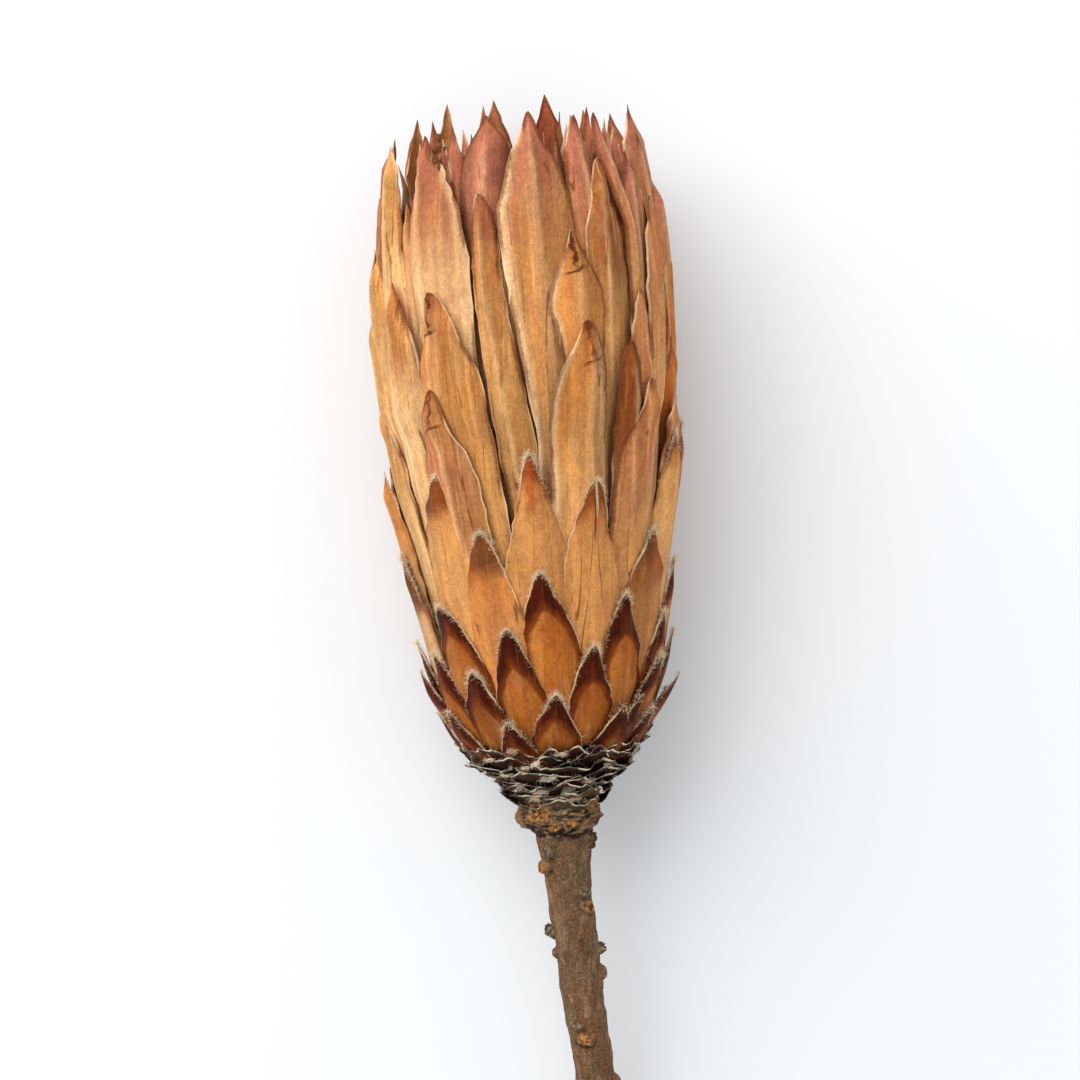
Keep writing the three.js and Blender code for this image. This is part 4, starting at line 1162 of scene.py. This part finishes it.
def makeStem():
    pile = Pile()
    rows, columns = stem["rows"], stem["columns"]
    t = np.linspace(0, 1, rows)
    height = (-stem["length"] + (stem["length"] + 2) * (1 - (1 - t) ** 1.5))[:, None]
    azimuth = np.linspace(0, 2 * math.pi, columns, endpoint=False)[None, :]
    plain = curve(stem["radius"], height[:, 0])[:, None]
    radius = plain + 0.12 * np.sin(3 * azimuth + height * 0.35) + 0.08 * np.sin(height * 1.1)
    dye = np.broadcast_to(barkDyes["plain"], (rows, columns, 3))
    redder = smooth(-12, -55, height) * (0.5 + 0.5 * np.sin(azimuth * 2 + 1))
    dye = mixColour(dye, barkDyes["redder"], redder * 0.7)
    dye = mixColour(dye, barkDyes["knuckle"], smooth(-7.4, -6.4, height) * np.ones_like(azimuth) * 0.8)
    relief = barkNoise(azimuth, height, plain)
    lumps = relief
    marked = np.zeros((rows, columns))
    for index, (h, turn, proud, wide, kind) in enumerate(knobs):
        around = np.arctan2(np.sin(azimuth - math.radians(turn)), np.cos(azimuth - math.radians(turn)))
        dh, da = height - h, around * plain
        angle = np.arctan2(dh, da)
        distance = np.hypot(dh * 1.15, da) / wide
        distance = distance * (1 + 0.12 * np.sin(2 * angle + turn) + 0.09 * np.sin(3 * angle + index)
                               + 0.06 * np.sin(7 * angle + turn * 3))
        swell = smooth(1.25, 0.45, distance)
        radius = radius + proud * swell
        lip = np.exp(-(((distance - 0.86) / 0.16) ** 2))
        if kind in ("scar", "darkScar"):
            crumbly = 0.13 * np.sin(da * 6.3 + index + 2.2 * np.sin(dh * 3.1))
            crumbly = crumbly * np.sin(dh * 5.7 + turn + 1.7 * np.sin(da * 4))
            radius = radius + (crumbly - proud * 0.4) * smooth(0.75, 0.4, distance) + 0.14 * lip
            lumps = lumps * (1 - 0.65 * smooth(1.0, 0.6, distance))
            # the relief mark paints light and shade on the bark: here the crumbly scar's relief, then a
            # painted shadow just under each scar
            relief = relief * (1 - smooth(1.1, 0.8, distance)) + crumbly * 1.6 * smooth(0.8, 0.5, distance)
            relief = relief - 0.22 * np.exp(-(((distance - 1.25) / 0.22) ** 2)) * smooth(0.5, -0.8, dh)
            dye = mixColour(dye, barkDyes["lip"], lip * 0.6)
        inside = smooth(1.0, 0.5, distance) * (0.95 if kind != "bark" else 0.5)
        dye = mixColour(dye, knobDyes[kind], inside)
        marked = np.maximum(marked, inside)
        if kind == "scar" and h < -7:  # an orange weep runs a little way down the stem
            weep = np.exp(-((da / (wide * 0.55)) ** 2)) * smooth(0, -1, dh) * smooth(-6.5, -1, dh)
            dye = mixColour(dye, barkDyes["weep"], weep * 0.6)
    waist = (height + stem["waist"] + 0.4 * np.sin(azimuth * 3)) / 0.55
    waist = stem["waistDepth"] * np.exp(-(waist ** 2))
    radius = radius + lumps - waist
    # painted shade in the waist groove
    relief = relief - waist
    slant = stem["cutSlant"] * radius * np.cos(azimuth) * smooth(-94, -100, height)
    mx, mz = stemMiddle(height)
    tube = aroundAxis(azimuth + 0 * height, height + slant, radius) + np.stack([mx, 0 * mx, mz], -1)
    pile.add(tube, bandFaces(rows, columns), dye=dye.reshape(-1, 3), relief=relief, marked=marked)
    addCutEnd(pile, tube[0])
    addCutEnd(pile, tube[-1][::-1])
    for h, turn, long, thick in stubs:
        addStub(pile, h, math.radians(turn), long, thick)
    pile.toObject("stemWood", barkMaterial(), ["stem"], "bark", 60)


def addCutEnd(pile, rim):
    # rings of pale wood from the bark in to the pith
    shares = [1.0, 0.93, 0.9, 0.7, 0.5, 0.3, 0.14, 0.0]
    middle = rim.mean(0)
    points, dye = [], []
    for k, share in enumerate(shares):
        points.append(middle + (rim - middle) * share + np.array([0, 0.12 * math.sin(k * 2.1), 0]))
        wood = (0.15, 0.085, 0.045) if k < 2 else (0.46, 0.30, 0.15) if k < 6 else (0.24, 0.12, 0.055)
        dye += [wood] * len(rim)
    faces = bandFaces(len(shares), len(rim), inward=True)
    pile.add(np.concatenate(points), faces, dye=dye, relief=0.0, marked=1.0)


def addStub(pile, h, azimuth, long, thick):
    # a broken twig end, pointing out and up the stem
    draw = random.Random(int(-h * 10))
    base = float(curve(stem["radius"], h)) - 1.2
    mx, mz = stemMiddle(h)
    out = outward(azimuth)
    way = out * math.cos(0.5) + np.array([0, math.sin(0.5), 0])
    side = np.cross(way, np.array([0, 1.0, 0]))
    side /= np.linalg.norm(side)
    up = np.cross(side, way)
    start = out * base + np.array([float(mx), h, float(mz)])
    n, rings = stubGrid["sides"], stubGrid["rings"]
    points, dye = [], []
    far = long + 1.3
    for k in range(rings):
        t = k / (rings - 1)
        girth = thick * (1.15 - 0.2 * t) * (1 if k < rings - 1 else 0.35)
        for j in range(n):
            a = j * 2 * math.pi / n
            r = girth * (1 + 0.16 * math.sin(3 * a + h) + draw.uniform(-0.06, 0.06))
            tear = 0.25 * math.sin(2 * a + h) * t
            points.append(start + way * (far * t + tear) + (side * math.cos(a) + up * math.sin(a)) * r)
            dye.append((0.16, 0.13, 0.09) if t < 0.8 else (0.06, 0.04, 0.025))
    points.append(start + way * far * 0.96)
    dye.append((0.08, 0.05, 0.03))
    pile.add(points, bandFaces(rings, n, inward=True), dye=dye, relief=0.0, marked=1.0)
    last = pile.count - n - 1 + np.arange(n)
    middle = np.full(n, pile.count - 1)
    cap = np.stack([last, middle, np.roll(last, -1), np.full(n, -1)], -1)
    pile.faces.append(cap)


floret = {
    "rings": [(0, 1), (2.6, 7), (5.2, 13), (7.8, 20), (10.2, 26), (12.4, 32), (14.2, 38)],
    "tip": 100,
    "drop": 0.5,  # lower towards the outside, per mm
    "root": 62,
    "thick": 1.35,
    "hairs": 16,
    "hairThick": 0.06,
    "styles": 26,
    "styleThick": 0.55,
    "dye": (0.42, 0.24, 0.13),
    "styleDye": (0.52, 0.30, 0.16),
}


def addFloret(pile, hairs, azimuth, reach, tip, thick, draw, colour):
    rings, sides = 9, 5
    t = np.linspace(0, 1, rings)
    height = floret["root"] + (tip - floret["root"]) * t
    out = reach * (1 + 0.03 * np.sin(t * 3 + draw.uniform(0, 6)))
    middle = aroundAxis(azimuth + 0.05 * np.sin(t * 2 + draw.uniform(0, 6)), height, out)
    girth = thick / 2 * (1 - 0.75 * smooth(0.7, 1, t)) * (1 + 0.1 * np.sin(t * 25 + draw.uniform(0, 6)))
    a = np.linspace(0, 2 * math.pi, sides, endpoint=False) + draw.uniform(0, 1)
    ring = np.stack([np.sin(a), 0 * a, np.cos(a)], -1)
    points = middle[:, None, :] + ring[None] * girth[:, None, None]
    shade = mixColour(np.array(colour) * 0.35, colour, smooth(0.3, 0.95, t))
    pile.add(points, bandFaces(rings, sides), dye=np.repeat(shade, sides, axis=0), grain=draw.random())
    for _ in range(floret["hairs"] if hairs else 0):
        way = np.array([draw.gauss(0, 0.5), draw.uniform(0.4, 1.4), draw.gauss(0, 0.5)])
        root = middle[-1] - np.array([0, draw.uniform(0, 4), 0])
        hairs.plant(root, way, draw.uniform(1.2, 3.0), draw.random() * 0.6, floret["hairThick"])


def makeFlorets():
    pile, hairs = Pile(), Hairs()
    draw = random.Random(77)
    for ring, (reach, count) in enumerate(floret["rings"]):
        for i in range(count):
            azimuth = (i + ring * 0.37 + draw.uniform(-0.3, 0.3)) * 2 * math.pi / count
            tip = floret["tip"] - floret["drop"] * reach + draw.uniform(-3, 2)
            colour = np.array(floret["dye"]) * draw.uniform(0.7, 1.2)
            addFloret(pile, hairs, azimuth, reach, tip, floret["thick"], draw, colour)
    for _ in range(floret["styles"]):
        azimuth = draw.uniform(0, 2 * math.pi)
        colour = np.array(floret["styleDye"]) * draw.uniform(0.6, 1.1)
        addFloret(pile, None, azimuth, draw.uniform(3, 14), draw.uniform(99, 106), floret["styleThick"],
                  draw, colour)
    r = Recipe("driedFloret", 0.7, 0.3)
    streak = r.noise(r.stretch(r.spot(), (1.0, 0.12, 1.0)), 2600, 2.0)
    r.bump(streak, 0.6, 0.0002)
    skin = r.colour(r.shadeBy(r.mark("dye", "Color"), (streak, 0.3, 0.7, 0.7, 1.25)))
    pile.toObject("floretMass", skin, ["florets"], "floret", 60)
    silk = hairMaterial("floretSilk", (0.72, 0.55, 0.38), (0.45, 0.26, 0.15))
    hairs.toObject("floretHairs", silk, "floret", 9, 5)


studio = {
    "tableHalf": 4.0,
    "tableDrop": 0.00005,  # keeps the table clear of what lies on it
    "tableTone": (0.72, 0.74, 0.76, 1),
    "white": (0.97, 0.985, 1.0, 1),
    "tableGlow": 0.08,  # a faintly lit light table
    "skyStrength": 0.80,
    "keyPower": 12.0,
    "keySize": 1.05,
    "keyTone": (1.0, 0.985, 0.96),
    "keyAt": (-0.47, 0.68, 0.76),
    "keyAim": (0, 0.03, 0),
    "cameraHeight": 0.6,
    "cameraOver": (0.0001, 0.0339),
    "lens": 120,
    "roll": 3.89,
}


def makeStudio():
    table = bpy.data.meshes.new("table")
    s = studio["tableHalf"]
    table.from_pydata([(-s, -s, 0), (s, -s, 0), (s, s, 0), (-s, s, 0)], [], [(0, 1, 2, 3)])
    r = Recipe("whiteTable", 0.7, 0.2)
    r.shader.inputs["Emission Color"].default_value = studio["white"]
    r.shader.inputs["Emission Strength"].default_value = studio["tableGlow"]
    table.materials.append(r.colour(studio["tableTone"]))
    top = addObject("table", table)
    top.location.z = -studio["tableDrop"]

    sky = bpy.data.worlds.new("studioWhite")
    bpy.context.scene.world = sky
    sky.use_nodes = True
    sky.node_tree.nodes["Background"].inputs[0].default_value = studio["white"]
    sky.node_tree.nodes["Background"].inputs[1].default_value = studio["skyStrength"]

    lamp = bpy.data.lights.new("softbox", "AREA")
    lamp.shape = "SQUARE"
    lamp.size, lamp.energy, lamp.color = studio["keySize"], studio["keyPower"], studio["keyTone"]
    box = addObject("softbox", lamp)
    box.location = studio["keyAt"]
    facing = Vector(studio["keyAim"]) - Vector(studio["keyAt"])
    box.rotation_euler = facing.to_track_quat("-Z", "Y").to_euler()

    lens = bpy.data.cameras.new("overhead")
    lens.lens = studio["lens"]
    lens.sensor_width = 36
    lens.clip_start = 0.05
    camera = addObject("overhead", lens)
    camera.location = (*studio["cameraOver"], studio["cameraHeight"])
    camera.rotation_euler = (0, 0, -math.radians(studio["roll"]))
    bpy.context.scene.camera = camera
    bpy.context.scene.view_settings.view_transform = "Standard"
    print("studio ready")


makeStudio()
makeStem()
makeNeckScales()
makeBracts()
makeFlorets()
